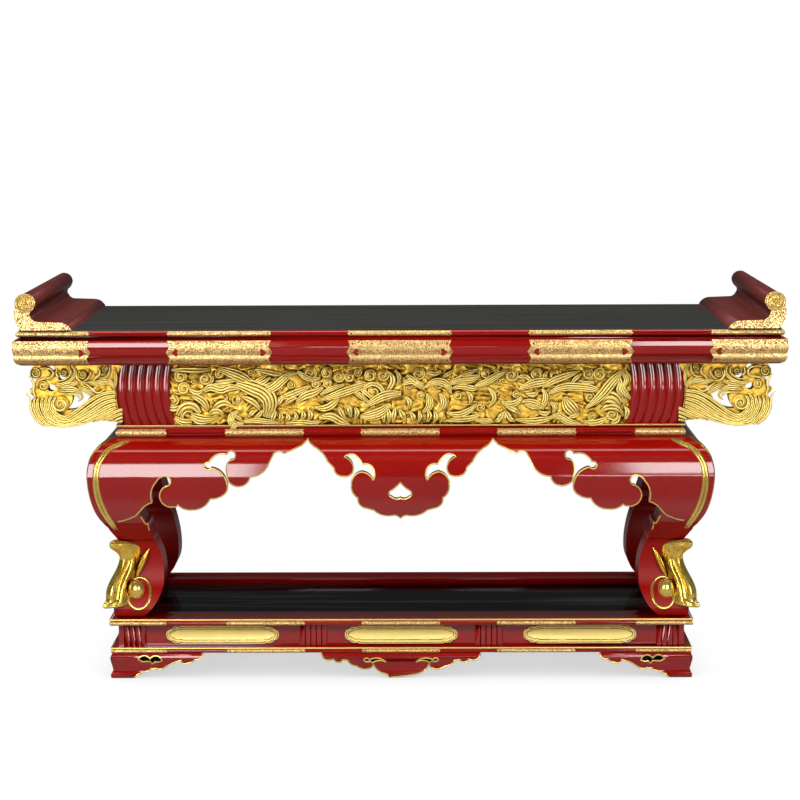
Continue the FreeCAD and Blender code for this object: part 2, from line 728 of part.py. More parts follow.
# Outline of the leaf seen from the front: across from the knee line, up
leaf_front_shares = [
    (0.100, 0.060), (0.350, 0.055), (0.440, 0.085), (0.450, 0.150, 0.520, 0.200),
    (0.640, 0.260, 0.730, 0.340), (0.790, 0.382), (0.690, 0.360), (0.690, 0.400, 0.590, 0.412),
    (0.450, 0.440), (0.100, 0.480)]
# Middle of the ring: across, back from the knee line, up; and of the ball from there, in ring sizes
ring_spot_shares = (0.644, 0.384, 0.124)
ball_shift_shares = (-0.155, 0.085)
oval_shares = [(0.00, -0.50), (0.37, -0.36, 0.50, 0.00), (0.37, 0.36, 0.00, 0.50)]


# Double bead on a leg, from the shoulder down to the leaf: outer line, then inner line back up
leg_bead_shares = [
    (0.461, 0.982), (0.177, 0.917, 0.082, 0.818), (0.084, 0.715, 0.192, 0.583), (0.323, 0.495),
    (0.370, 0.515), (0.254, 0.619), (0.174, 0.735, 0.161, 0.790), (0.220, 0.897, 0.493, 0.973)]


def make_leg_beads():
    """A thin raised band on the front and on the side face of each leg."""
    low = base_top + leg_bead_shares[3][1] * leg_height - leg_bead_width
    skin = square_section(bulge_rows(-bead_stand_out) + [(leg_size, low), (leg_size, leg_top)])
    wood = square_section(bulge_rows(0) + [(leg_size + OVERRUN, base_top), (leg_size + OVERRUN, leg_top)])
    skin = skin.cut(wood)
    outline = scaled_rows(leg_bead_shares, leg_size, leg_height, base_top)
    run = leg_size + OVERRUN
    front_view = draw(outline, lambda inwards, up: V(inwards - half_knee.x, -half_knee.y - OVERRUN, up))
    side_view = draw(outline, lambda inwards, up: V(-half_knee.x - OVERRUN, inwards - half_knee.y, up))
    front = skin.common(front_view.extrude(V(0, run, 0)))
    side = skin.common(side_view.extrude(V(run, 0, 0)))
    nodes["leg_beads"] = group(at_four_corners(biggest(front)) + at_four_corners(biggest(side)))


def make_feet_ornaments(leg):
    rows = scaled_rows(leaf_profile_shares, leg_size, leg_height, base_top)
    rows += [(leg_size, rows[-1][-1]), (leg_size, rows[0][-1])]
    wood = bulge_rows(0) + scaled_rows(shin_shares[:4], leg_size, leg_height, base_top)
    wood += [(leg_size + OVERRUN, base_top), (leg_size + OVERRUN, leg_top)]
    shell = square_section(rows).cut(square_section(wood))
    outline = scaled_rows(leaf_front_shares, leg_size, leg_height, base_top)
    leaf = biggest(shell.common(square_section(outline)))
    nodes["leaf_ornaments"] = group(at_four_corners(leaf))

    out = FreeCAD.Rotation(V(1, 0, 0), -ring_slope).multVec(V(0, -1, 0))
    slope_up = V(1, 0, 0).cross(-out)
    across, back, up = ring_spot_shares
    spot = V(across * leg_size - half_knee.x, back * leg_size - half_knee.y, base_top + up * leg_height)

    def oval(width, length):
        rows = scaled_rows(oval_shares, width, length)
        rows += mirrored_rows(rows)[1:]
        face = draw(rows, lambda x, z: spot + V(x, 0, 0) + slope_up * z - out * ring_wire)
        return face.extrude(out * (2 * ring_wire))

    ring = oval(ring_width, ring_length).cut(oval(ring_width - 2 * ring_wire, ring_length - 2 * ring_wire))
    shift = V(ball_shift_shares[0] * ring_width, 0, 0) + slope_up * (ball_shift_shares[1] * ring_length)
    ball = Part.makeSphere(ball_radius, spot + shift)
    nodes["foot_bosses"] = group(at_four_corners(biggest(ring.fuse(ball).cut(leg))))


# Base

base_rail_shares = [(0.60, 0.00), (0.00, 0.35, 0.60, 0.70), (0.50, 0.73), (0.50, 1.00)]
lower_rail_shares = [(0.75, 0.00), (0.25, 0.33, 0.75, 0.66), (0.50, 0.70), (0.50, 1.00)]


def base_rails(half, shares, plan, height, low):
    rows = scaled_rows(shares, base_moulding_depth, height, low)
    rows += [(plan, low + height), (plan, low)]
    return mitred_rails(half, plan, rows)


def make_base():
    upper = base_rails(half_base, base_rail_shares, base_rail_plan, base_rail_height, base_rail_low)
    lower = base_rails(half_base, lower_rail_shares, lower_rail_plan, lower_rail_height, foot_height)
    for side in upper:
        nodes["base_rail_" + side] = drill(upper[side], dowels_leg_foot)
        nodes["base_lower_rail_" + side] = lower[side]

    inside = base_board_setback + base_board_thickness
    rows = [(base_board_setback, base_board_low), (base_board_setback, base_rail_low),
            (inside, base_rail_low), (inside, base_board_low)]
    boards = mitred_rails(half_base, inside, rows)
    for side, board in boards.items():
        nodes["base_board_" + side] = board

    fit = inside + JOINT_GAP
    nodes["base_panel"] = block(
        V(-half_base.x + fit, -half_base.y + fit, base_rail_low - base_panel_thickness),
        V(half_base.x - fit, half_base.y - fit, base_rail_low))
    high = base_rail_low - base_panel_thickness
    bars = []
    for place in (-1, 0, 1):
        x = place * bearer_spacing / 2
        bars.append(block(V(x - bearer_width / 2, -half_base.y + inside, high - bearer_thickness),
                          V(x + bearer_width / 2, half_base.y - inside, high)))
    nodes["panel_bearers"] = group(bars)

    make_flute_blocks()
    make_lobed_panels()
    make_bracket_feet()
    make_base_pendant()
    make_base_fittings(upper, lower)


def make_flute_blocks():
    """Reeded blocks on the face of the boards; the corner ones turn onto the sides."""
    setback = base_board_setback - flute_block_thickness
    rows = [(setback, base_board_low), (setback, base_rail_low),
            (base_board_setback, base_rail_low), (base_board_setback, base_board_low)]
    skins = mitred_rails(half_base, base_board_setback, rows)
    face_x = half_base.x - setback
    face_y = half_base.y - setback

    def flutes(first, pitch, y):
        cutters = []
        for number in range(flute_count + 1):
            x = first + number * pitch
            tool = draw([(x - flute_width / 3, -y - flute_depth), (x + flute_width / 3, -y - flute_depth),
                         (x, -y + flute_depth)], lambda a, b: V(a, b, base_board_low))
            cutters.append(tool.extrude(UP * base_board_height))
        return cutters

    pitch = flute_block_width / flute_count
    blocks = []
    for sign in (-1, 1):
        x = sign * flute_block_spacing / 2
        plain = block(V(x - flute_block_width / 2, -face_y, base_board_low),
                      V(x + flute_block_width / 2, -face_y + flute_block_thickness, base_rail_low))
        blocks.append(plain.cut(group(flutes(x - flute_block_width / 2, pitch, face_y))))
    outside = V(-face_x - OVERRUN, -face_y - OVERRUN, base_board_low)
    corner_front = skins["front"].common(block(outside, V(-face_x + flute_block_width, 0, base_rail_low)))
    corner_side = skins["left"].common(block(outside, V(0, -face_y + flute_block_width, base_rail_low)))
    corner = corner_front.fuse(corner_side).removeSplitter()
    front_cuts = flutes(-face_x, pitch, face_y)[1:]
    side_cuts = []
    for tool in flutes(-face_y, pitch, face_x)[1:]:
        side_cuts.append(mirror_y(turned(tool, 270)))
    corner = corner.cut(group(front_cuts + side_cuts))
    blocks += at_four_corners(corner)
    nodes["fluted_blocks"] = group(blocks)


# Right half of a lobed panel, from the middle of its top edge to the middle of its bottom edge
lobed_shares = [
    (0.00, 0.50), (0.74, 0.50), (0.79, 0.43), (0.87, 0.43, 0.92, 0.30), (0.97, 0.24, 1.00, 0.00),
    (0.97, -0.24, 0.92, -0.30), (0.87, -0.43, 0.79, -0.43), (0.74, -0.50), (0.00, -0.50)]


def lobed_plate(length, height, thickness, middle):
    """A plate with cusped ends, its face at middle and its thickness towards the back."""
    right = scaled_rows(lobed_shares, length / 2, height)
    rows = right + mirrored_rows(right)[1:]
    face = draw(rows, lambda x, z: V(middle.x + x, middle.y, middle.z + z))
    return face.extrude(V(0, thickness, 0))


def make_lobed_panels():
    front = -half_base.y + base_board_setback - lobed_panel_thickness
    middle_z = base_board_low + base_board_height / 2
    inner_length = lobed_panel_length - 2 * lobed_rim
    inner_height = lobed_panel_height - 2 * lobed_rim
    panels = []
    for place in (-1, 0, 1):
        middle = V(place * lobed_panel_spacing, front, middle_z)
        plate = lobed_plate(lobed_panel_length, lobed_panel_height, lobed_panel_thickness, middle)
        panels.append(plate.cut(lobed_plate(inner_length, inner_height, lobed_sink, middle)))
    nodes["lobed_panels"] = group(panels)


# Profile of a bracket foot (inwards, up) and its lower edge (share of its reach, up)
foot_profile_shares = [
    (0.27, 1.00), (0.00, 0.87, 0.00, 0.71), (0.27, 0.35), (0.20, 0.22, 0.00, 0.16),
    (0.00, 0.05), (0.12, 0.00)]
foot_edge_shares = [
    (0.245, 0.000), (0.290, 0.160), (0.415, 0.290), (0.435, 0.370), (0.490, 0.375),
    (0.545, 0.350, 0.590, 0.440), (0.690, 0.640), (0.765, 0.725),
    (0.790, 0.590, 0.830, 0.600), (0.880, 0.650, 0.920, 0.765), (0.975, 0.800, 1.000, 1.000)]
foot_comma_shares = [
    (0.300, 0.760), (0.350, 0.900, 0.430, 0.780), (0.500, 0.900, 0.560, 0.700), (0.510, 0.640),
    (0.480, 0.680), (0.450, 0.560), (0.430, 0.680), (0.350, 0.660)]
pendant_edge_shares = [
    (1.000, 1.000), (0.965, 0.780, 0.850, 0.770), (0.820, 0.650, 0.760, 0.640), (0.735, 0.730),
    (0.670, 0.705), (0.630, 0.540, 0.560, 0.470), (0.480, 0.350, 0.420, 0.350), (0.370, 0.420, 0.350, 0.570),
    (0.320, 0.380, 0.250, 0.200), (0.170, 0.140), (0.150, 0.000)]
pendant_comma_shares = [
    (0.470, 0.730), (0.440, 0.800, 0.400, 0.730), (0.330, 0.800, 0.190, 0.630), (0.300, 0.690, 0.360, 0.600),
    (0.390, 0.690), (0.420, 0.650, 0.470, 0.730)]


def foot_bar(half_along, half_across):
    rows = scaled_rows(foot_profile_shares, foot_moulding_depth, foot_height)
    rows += [(foot_board_thickness, 0), (foot_board_thickness, foot_height)]
    face = draw(rows, lambda inwards, up: V(-half_along, inwards - half_across, up))
    return face.extrude(V(2 * half_along, 0, 0))


def pierce(bar, rows, half_along, half_across):
    """Cut an outline, drawn from the left end of a bar along the front, right through it."""
    face = draw(rows, lambda x, z: V(x - half_along, -half_across - OVERRUN, z))
    return bar.cut(face.extrude(V(0, half_across, 0)))


def bracket(half_along, half_across):
    """The front board of a left foot, with its cusped edge and comma cut-out."""
    edge = scaled_rows(foot_edge_shares, bracket_reach, foot_height)
    beyond = 2 * half_along + OVERRUN
    below = [(edge[0][0], -OVERRUN)] + edge
    below += [(edge[-1][-2], foot_height + OVERRUN), (beyond, foot_height + OVERRUN), (beyond, -OVERRUN)]
    board = pierce(foot_bar(half_along, half_across), below, half_along, half_across)
    comma = scaled_rows(foot_comma_shares, bracket_reach, foot_height)
    return pierce(board, comma, half_along, half_across)


def make_bracket_feet():
    front = bracket(half_base.x, half_base.y)
    side = mirror_y(turned(bracket(half_base.y, half_base.x), 270))
    reach = 2 * bracket_reach
    mitre = draw([(0, 0), (reach, 0), (reach, reach)],
                 lambda x, y: V(x - half_base.x - OVERRUN, y - half_base.y - OVERRUN, 0))
    mitre = mitre.extrude(UP * foot_height)
    foot = front.common(mitre).fuse(side.cut(mitre)).removeSplitter()
    nodes["bracket_feet"] = group(at_four_corners(foot))


def make_base_pendant():
    half = pendant_width / 2
    edge = scaled_rows(pendant_edge_shares, half, foot_height)
    high = foot_height + OVERRUN
    rows = [(half, high)] + edge + mirrored_rows(edge)[1:] + [(-half, high)]
    keep = draw(rows, lambda x, z: V(-x, -half_base.y - OVERRUN, z))
    pendant = foot_bar(half + OVERRUN, half_base.y).common(keep.extrude(V(0, half_base.y, 0)))
    comma = scaled_rows(pendant_comma_shares, half, foot_height)
    pendant = pierce(pendant, comma, 0, half_base.y)
    nodes["base_pendant"] = mirror_x(pierce(mirror_x(pendant), comma, 0, half_base.y))


def make_base_fittings(upper, lower):
    half_fitted = V(half_base.x + fitting_thickness, half_base.y + fitting_thickness, 0)
    low_share, high_share = 0.04, 0.66
    pieces = []
    for rails, shares, plan, height, low in (
            (upper, base_rail_shares, base_rail_plan, base_rail_height, base_rail_low),
            (lower, lower_rail_shares, lower_rail_plan, lower_rail_height, foot_height)):
        fitted = base_rails(half_fitted, shares, plan, height, low)
        shells = {side: fitted[side].cut(group(rails.values())) for side in ("front", "left")}
        plates = plate_fittings(shells, half_fitted, low + low_share * height, low + high_share * height,
                                mid_fitting_length, mid_fitting_spacing, base_corner_reach, fitting_cusp / 3)
        pieces += plates.Solids
    nodes["base_fittings"] = group(pieces)


# Everything together

def make_dowels(scroll_dowels):
    bars = []
    for centre, length in (dowels_post_top + dowels_post_foot + dowels_leg_top
                           + dowels_leg_foot + scroll_dowels):
        bars.append(eight_sided_bar(centre, dowel_across, length))
    nodes["dowels"] = group(bars)


def main():
    rails = make_top()
    make_top_fittings(rails)
    scroll_dowels = make_scroll_ends()
    post = make_posts()
    make_waist_boards()
    nodes["frieze_carving"] = frieze_carving()
    make_wings(post)
    leg, tongues = make_legs_and_aprons()
    make_mid_rails(tongues)
    make_leg_beads()
    make_feet_ornaments(leg)
    make_base()
    make_dowels(scroll_dowels)

    os.makedirs("parts", exist_ok=True)
    for name, shape in nodes.items():
        shape.exportStep("parts/" + name + ".step")
        if not shape.isValid():
            print("not valid:", name)
        print(name, len(shape.Solids), round(shape.Volume), len(shape.Faces))
    print(len(nodes), "nodes")


main()
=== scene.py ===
import json
import math
from itertools import product

import bmesh
import bpy
from bpy.props import FloatProperty, FloatVectorProperty, PointerProperty
from mathutils import Matrix, Vector
from mathutils.bvhtree import BVHTree
from mathutils.noise import noise


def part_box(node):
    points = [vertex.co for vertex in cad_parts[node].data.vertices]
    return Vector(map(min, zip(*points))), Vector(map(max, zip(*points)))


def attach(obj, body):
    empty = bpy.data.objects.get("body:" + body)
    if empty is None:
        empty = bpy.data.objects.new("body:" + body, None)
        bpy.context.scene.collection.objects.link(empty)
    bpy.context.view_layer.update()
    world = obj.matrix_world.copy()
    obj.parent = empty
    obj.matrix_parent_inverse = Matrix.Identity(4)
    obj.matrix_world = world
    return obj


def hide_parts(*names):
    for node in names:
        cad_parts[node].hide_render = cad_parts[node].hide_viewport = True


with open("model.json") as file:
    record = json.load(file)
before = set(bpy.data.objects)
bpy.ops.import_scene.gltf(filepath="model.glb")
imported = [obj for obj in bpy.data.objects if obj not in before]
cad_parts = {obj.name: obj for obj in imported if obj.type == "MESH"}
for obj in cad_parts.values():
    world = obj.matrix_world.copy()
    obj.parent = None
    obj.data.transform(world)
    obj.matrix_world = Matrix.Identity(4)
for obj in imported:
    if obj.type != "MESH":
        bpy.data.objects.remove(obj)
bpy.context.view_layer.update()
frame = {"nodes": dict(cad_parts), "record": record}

bl_info = {
    "name": "Lacquered altar table",
    "version": (1, 0, 0),
    "blender": (4, 5, 0),
    "location": "3D Viewport > Sidebar > Altar table",
    "description": "Dresses a lacquered and gilded altar table around its fixed frame",
    "category": "Object",
}

MM = 0.001
FRONT = Vector((0, -1, 0))


def linear(code):
    """A colour written as #rrggbb, as the linear numbers that a shader takes."""
    shares = [int(code[at:at + 2], 16) / 255 for at in (1, 3, 5)]
    return tuple(s / 12.92 if s <= 0.04045 else ((s + 0.055) / 1.055) ** 2.4 for s in shares)


def colour(name, description, code):
    return FloatVectorProperty(name=name, description=description, subtype="COLOR",
                               size=3, min=0, max=1, default=linear(code))


def length(name, description, millimetres):
    return FloatProperty(name=name, description=description, unit="LENGTH", subtype="DISTANCE",
                         min=0, precision=5, default=millimetres * MM)


class FinishSettings(bpy.types.PropertyGroup):
    """Colours of the lacquers, the gold and the bare wood."""

    red: colour("Red lacquer", "Body colour of the red lacquer", "#9f0f06")
    deep_red: colour("Deep red", "Red lacquer where the coats are thickest", "#860805")
    black: colour("Black lacquer", "Polished black lacquer of the base panel", "#030404")
    # The grey is painted sheen: the rubbed black top mirrors little, so its sheen is in its colour
    satin: colour("Rubbed black", "Black lacquer of the top, rubbed to a satin", "#2e2e2c")
    # Painted shade and reflection: the red of the scroll ends made darker and greyer
    maroon: colour("Rubbed red", "Red lacquer of the scroll ends, rubbed to a satin", "#5c231f")
    # On the carvings: ground and gold_shade are painted shade, gold_light and gold_crest highlights
    gold: colour("Gold leaf", "Gold leaf on the carving", "#d3a43c")
    gold_light: colour("Rubbed gold", "Gold leaf on the crests and on flat panels", "#f1ca58")
    gold_crest: colour("Burnished gold", "Gold leaf on the sharpest crests", "#fae489")
    gold_shade: colour("Toned gold", "Gold leaf toned down in the hollows", "#6c420a")
    ground: colour("Ground", "Lacquer that shows in the deepest hollows", "#2a1206")
    brass: colour("Gilt brass", "Polished faces of the fittings", "#f2cf86")
    # Patina is also painted as shade on the down-turned half of the fittings
    patina: colour("Patina", "Brown left in the punched ground of the fittings", "#86490f")
    wood: colour("Cypress", "Planed wood inside the table", "#b98a58")


class TrimSettings(bpy.types.PropertyGroup):
    """Sizes of the gilt lines and beads."""

    line: length("Gilt line", "Half the width of the gilt line on a cut edge", 1.5)
    bead: length("Leg bead", "Radius of each bead of the pair on a leg", 3.6)
    arris: length("Arris", "Width of the rubbed edge of a lacquered board", 0.8)


class StageSettings(bpy.types.PropertyGroup):
    """The studio around the table."""

    key: FloatProperty(name="Overhead lamp", description="Power of the large overhead soft box",
                       unit="POWER", min=0, default=54)
    fill: FloatProperty(name="Front fill", description="Power of the lamp that fills the front",
                        unit="POWER", min=0, default=92)
    panel: FloatProperty(name="Front panels", description="Power of a square metre of panel",
                         unit="POWER", min=0, default=31)
    room: FloatProperty(name="Room light", description="Strength of the light from all round",
                        min=0, default=0.42)
    mirror: FloatProperty(name="Mirrored room", description="Strength of the room in reflections",
                          min=0, default=0.05)
    floor: colour("Floor", "Colour of the floor", "#ffffff")


class AltarTableSettings(bpy.types.PropertyGroup):
    """What a user can change about the table."""

    finish: PointerProperty(name="Finish", description="Colours", type=FinishSettings)
    trim: PointerProperty(name="Trim", description="Lines and beads", type=TrimSettings)
    stage: PointerProperty(name="Stage", description="Floor and lamps", type=StageSettings)


# Materials

def add_node(tree, kind, settings=None, inputs=None):
    """Adds a node; an input takes a value or another node's output."""
    made = tree.nodes.new("ShaderNode" + kind)
    for name, value in (settings or {}).items():
        setattr(made, name, value)
    for name, value in (inputs or {}).items():
        if isinstance(value, bpy.types.NodeSocket):
            tree.links.new(value, made.inputs[name])
        else:
            made.inputs[name].default_value = value
    return made


def new_material(name):
    """A material with its tree, its shader and a piece's own coordinates."""
    made = bpy.data.materials.new(name)
    made.use_nodes = True
    tree = made.node_tree
    place = add_node(tree, "TexCoord").outputs["Object"]
    return made, tree, tree.nodes["Principled BSDF"], place


def opaque(rgb):
    return (*rgb, 1)


def per_mm(size):
    """Scale of a pattern whose features are size millimetres across."""
    return 1 / (size * MM)


def red_urushi(finish, name="red_urushi_polished", rough=0.07, level=0.75):
    """Red lacquer, polished by hand: deep and even, with a faint ripple in its reflections."""
    made, tree, shader, place = new_material(name)
    # Uneven thickness of the coats darkens the red in patches a hand wide
    coats = add_node(tree, "TexNoise", inputs={"Vector": place, "Scale": per_mm(110), "Detail": 3})
    tone = add_node(tree, "Mix", {"data_type": "RGBA"},
                    {0: coats.outputs["Fac"], 6: opaque(finish.deep_red), 7: opaque(finish.red)})
    tree.links.new(tone.outputs[2], shader.inputs["Base Color"])
    # Dust and polish marks move the roughness a little
    marks = add_node(tree, "TexNoise", inputs={"Vector": place, "Scale": per_mm(9), "Detail": 4})
    gloss = add_node(tree, "MapRange", inputs={0: marks.outputs["Fac"], 3: rough, 4: rough + 0.06})
    tree.links.new(gloss.outputs[0], shader.inputs["Roughness"])
    # Brush ripple, 45 mm from crest to crest
    ripple = add_node(tree, "TexNoise", inputs={"Vector": place, "Scale": per_mm(45), "Detail": 1})
    bump = add_node(tree, "Bump", inputs={"Height": ripple.outputs["Fac"], "Strength": 0.03,
                                          "Distance": 1 * MM})
    tree.links.new(bump.outputs["Normal"], shader.inputs["Normal"])
    shader.inputs["IOR"].default_value = 1.5
    shader.inputs["Specular IOR Level"].default_value = level
    return made


def plain_urushi(name, tone, streak, level, rough, start=0.35):
    """Lacquer of one colour: the top and scroll ends are rubbed, the base panel is left bright.

    streak is how many times lighter the painted streaks of sheen are, and start the noise where
    they begin."""
    made, tree, shader, place = new_material(name)
    # Long faint streaks along the table: painted sheen, and painted reflections on the bright base
    # panel
    along = add_node(tree, "Mapping", inputs={"Vector": place, "Scale": (0.07, 1, 1)})
    rubbed = add_node(tree, "TexNoise", inputs={"Vector": along.outputs[0], "Scale": per_mm(45),
                                                "Detail": 4})
    share = add_node(tree, "MapRange", inputs={0: rubbed.outputs["Fac"], 1: start, 2: 0.7})
    tone = add_node(tree, "Mix", {"data_type": "RGBA"},
                    {0: share.outputs[0], 6: opaque(tone),
                     7: opaque([streak * part for part in tone])})
    tree.links.new(tone.outputs[2], shader.inputs["Base Color"])
    gloss = add_node(tree, "MapRange", inputs={0: rubbed.outputs["Fac"], 3: rough, 4: rough + 0.08})
    tree.links.new(gloss.outputs[0], shader.inputs["Roughness"])
    shader.inputs["Specular IOR Level"].default_value = level
    return made


def gold_leaf(finish, name, back, front, rough=0.3, cut=0.35, metal=0.3):
    """Gold leaf on carving: painted highlights on crests, painted brown shade towards the ground.

    back and front are how far in Y from the middle of the table the painted shade is darkest
    and lightest, in metres."""
    made, tree, shader, place = new_material(name)
    # Painted shade: the nearer a point lies to the ground of the carving, the darker it is
    part = add_node(tree, "SeparateXYZ", inputs={0: place})
    out = add_node(tree, "Math", {"operation": "ABSOLUTE"}, {0: part.outputs["Y"]})
    height = add_node(tree, "MapRange", inputs={0: out.outputs[0], 1: back, 2: front})
    # Wear and toning are uneven, in spots of a few millimetres
    spots = add_node(tree, "TexNoise", inputs={"Vector": place, "Scale": per_mm(9), "Detail": 4})
    shift = add_node(tree, "MapRange", inputs={0: spots.outputs["Fac"], 1: 0.3, 2: 0.7,
                                               3: -0.2, 4: 0.25})
    # Painted shade in the crevices, from how closely nearby surfaces hem a point in
    open_share = add_node(tree, "AmbientOcclusion", {"samples": 8}, {"Distance": 9 * MM})
    shaded = add_node(tree, "MapRange", inputs={0: open_share.outputs["AO"], 1: 0.45, 2: 0.88,
                                                3: 0.0, 4: 1.0})
    lit = add_node(tree, "Math", {"operation": "MULTIPLY"},
                   {0: height.outputs[0], 1: shaded.outputs[0]})
    level = add_node(tree, "Math", {"operation": "ADD"},
                     {0: lit.outputs[0], 1: shift.outputs[0]})
    # The ramp paints the light, from brown in the deepest shade to pale gold highlights on crests
    ramp = add_node(tree, "ValToRGB", inputs={"Fac": level.outputs[0]})
    stops = ramp.color_ramp.elements
    stops[0].position, stops[0].color = 0.0, opaque(finish.ground)
    stops[1].position, stops[1].color = 1.0, opaque(finish.gold_crest)
    for at, tone in ((0.14, finish.gold_shade), (0.36, finish.gold), (0.74, finish.gold_light)):
        stops.new(at).color = opaque(tone)
    tree.links.new(ramp.outputs["Color"], shader.inputs["Base Color"])
    # Leaves overlap in 30 mm squares, drawn as a slight change of gloss
    leaves = add_node(tree, "TexVoronoi", {"distance": "CHEBYCHEV"},
                      {"Vector": place, "Scale": per_mm(30), "Randomness": 0.3})
    gloss = add_node(tree, "MapRange", inputs={0: leaves.outputs["Distance"], 3: rough - 0.04,
                                               4: rough + 0.08})
    tree.links.new(gloss.outputs[0], shader.inputs["Roughness"])
    # Small cuts of the gouge under the leaf, in curls 7 mm across
    curl = add_node(tree, "TexNoise", inputs={"Vector": place, "Scale": per_mm(16), "Detail": 2})
    bent = add_node(tree, "VectorMath", {"operation": "MULTIPLY_ADD"},
                    {0: curl.outputs["Color"], 1: (0.03, 0.03, 0.03), 2: place})
    cuts = add_node(tree, "TexNoise", inputs={"Vector": bent.outputs[0], "Scale": per_mm(7),
                                              "Detail": 2})
    bump = add_node(tree, "Bump", inputs={"Height": cuts.outputs["Fac"], "Strength": cut,
                                          "Distance": 1.2 * MM})
    tree.links.new(bump.outputs["Normal"], shader.inputs["Normal"])
    shader.inputs["Metallic"].default_value = metal
    shader.inputs["Specular Tint"].default_value = opaque(finish.gold_light)
    return made


def gold_leaf_flat(finish):
    """Gold leaf on a flat panel: burnished, with the faint laps of the leaves."""
    made, tree, shader, place = new_material("gold_leaf_burnished")
    leaves = add_node(tree, "TexVoronoi", {"distance": "CHEBYCHEV"},
                      {"Vector": place, "Scale": per_mm(34), "Randomness": 0.25})
    rubbed = add_node(tree, "TexNoise", inputs={"Vector": place, "Scale": per_mm(12), "Detail": 4})
    both = add_node(tree, "Math", {"operation": "MULTIPLY"},
                    {0: leaves.outputs["Distance"], 1: rubbed.outputs["Fac"]})
    tone = add_node(tree, "Mix", {"data_type": "RGBA"},
                    {0: both.outputs[0], 6: opaque(finish.gold_crest),
                     7: opaque(finish.gold_light)})
    tree.links.new(tone.outputs[2], shader.inputs["Base Color"])
    gloss = add_node(tree, "MapRange", inputs={0: rubbed.outputs["Fac"], 3: 0.36, 4: 0.5})
    tree.links.new(gloss.outputs[0], shader.inputs["Roughness"])
    shader.inputs["Metallic"].default_value = 0.12
    return made


def gilt_line(finish, name="gilt_line_powder", rough=0.3, metal=0.6, grain=4):
    """Powdered gold laid on the lacquer: a soft metal line without a pattern."""
    made, tree, shader, place = new_material(name)
    wear = add_node(tree, "TexNoise", inputs={"Vector": place, "Scale": per_mm(grain), "Detail": 3})
    tone = add_node(tree, "Mix", {"data_type": "RGBA"},
                    {0: wear.outputs["Fac"], 6: opaque(finish.gold), 7: opaque(finish.gold_crest)})
    tree.links.new(tone.outputs[2], shader.inputs["Base Color"])
    gloss = add_node(tree, "MapRange", inputs={0: wear.outputs["Fac"], 3: rough, 4: rough + 0.12})
    tree.links.new(gloss.outputs[0], shader.inputs["Roughness"])
    shader.inputs["Metallic"].default_value = metal
    return made


def chased_brass(finish):
    """Gilt brass sheet: chased scrolls stand polished on a punched ground that holds patina."""
    made, tree, shader, place = new_material("gilt_brass_chased")
    # Scrolls 8 mm wide, bent by a slow noise
    bend = add_node(tree, "TexNoise", inputs={"Vector": place, "Scale": per_mm(11), "Detail": 1})
    bent = add_node(tree, "VectorMath", {"operation": "MULTIPLY_ADD"},
                    {0: bend.outputs["Color"], 1: (0.014, 0.014, 0.014), 2: place})
    scrolls = add_node(tree, "TexVoronoi", {"feature": "SMOOTH_F1"},
                       {"Vector": bent.outputs[0], "Scale": per_mm(8), "Smoothness": 0.2})
    rings = add_node(tree, "Math", {"operation": "SINE"},
                     {0: add_node(tree, "Math", {"operation": "MULTIPLY"},
                                  {0: scrolls.outputs["Distance"], 1: 16}).outputs[0]})
    chased = add_node(tree, "MapRange", {"interpolation_type": "SMOOTHSTEP"},
                      {0: rings.outputs[0], 1: -0.2, 2: 0.3})
    # Punch marks in rows, drawn 2.6 mm apart so that they show
    punched = add_node(tree, "TexVoronoi", inputs={"Vector": place, "Scale": per_mm(2.6),
                                                   "Randomness": 0.35})
    dots = add_node(tree, "MapRange", {"interpolation_type": "SMOOTHSTEP"},
                    {0: punched.outputs["Distance"], 1: 0.3, 2: 0.6})
    ground = add_node(tree, "Math", {"operation": "MULTIPLY"}, {0: dots.outputs[0], 1: 0.66})
    relief = add_node(tree, "Math", {"operation": "MAXIMUM"},
                      {0: chased.outputs[0], 1: ground.outputs[0]})
    # Painted light: down-turned halves of a moulding are painted dark, upper halves light
    facing = add_node(tree, "SeparateXYZ", inputs={0: add_node(tree, "TexCoord").outputs["Normal"]})
    painted_light_by_facing = add_node(tree, "MapRange", inputs={0: facing.outputs["Z"], 1: -0.5, 2: 0.15,
                                              3: 0.56, 4: 1.12})
    pattern_and_painted_light = add_node(tree, "Math", {"operation": "MULTIPLY"},
                     {0: relief.outputs[0], 1: painted_light_by_facing.outputs[0]})
    tone = add_node(tree, "Mix", {"data_type": "RGBA"},
                    {0: pattern_and_painted_light.outputs[0], 6: opaque(finish.patina), 7: opaque(finish.brass)})
    tree.links.new(tone.outputs[2], shader.inputs["Base Color"])
    bump = add_node(tree, "Bump", inputs={"Height": relief.outputs[0], "Strength": 0.8,
                                          "Distance": 0.5 * MM})
    tree.links.new(bump.outputs["Normal"], shader.inputs["Normal"])
    gloss = add_node(tree, "MapRange", inputs={0: relief.outputs[0], 3: 0.6, 4: 0.36})
    tree.links.new(gloss.outputs[0], shader.inputs["Roughness"])
    shader.inputs["Metallic"].default_value = 0.5
    return made


def planed_cypress(finish):
    """Bare cypress inside the table: straight grain with a dull planed surface."""
    made, tree, shader, place = new_material("cypress_planed")
    along = add_node(tree, "Mapping", inputs={"Vector": place, "Scale": (0.06, 1, 1)})
    grain = add_node(tree, "TexNoise", inputs={"Vector": along.outputs[0], "Scale": per_mm(5),
                                               "Detail": 6})
    tone = add_node(tree, "Mix", {"data_type": "RGBA"},
                    {0: grain.outputs["Fac"], 6: opaque([0.6 * part for part in finish.wood]),
                     7: opaque(finish.wood)})
    tree.links.new(tone.outputs[2], shader.inputs["Base Color"])
    shader.inputs["Roughness"].default_value = 0.7
    return made


# Shaping helpers

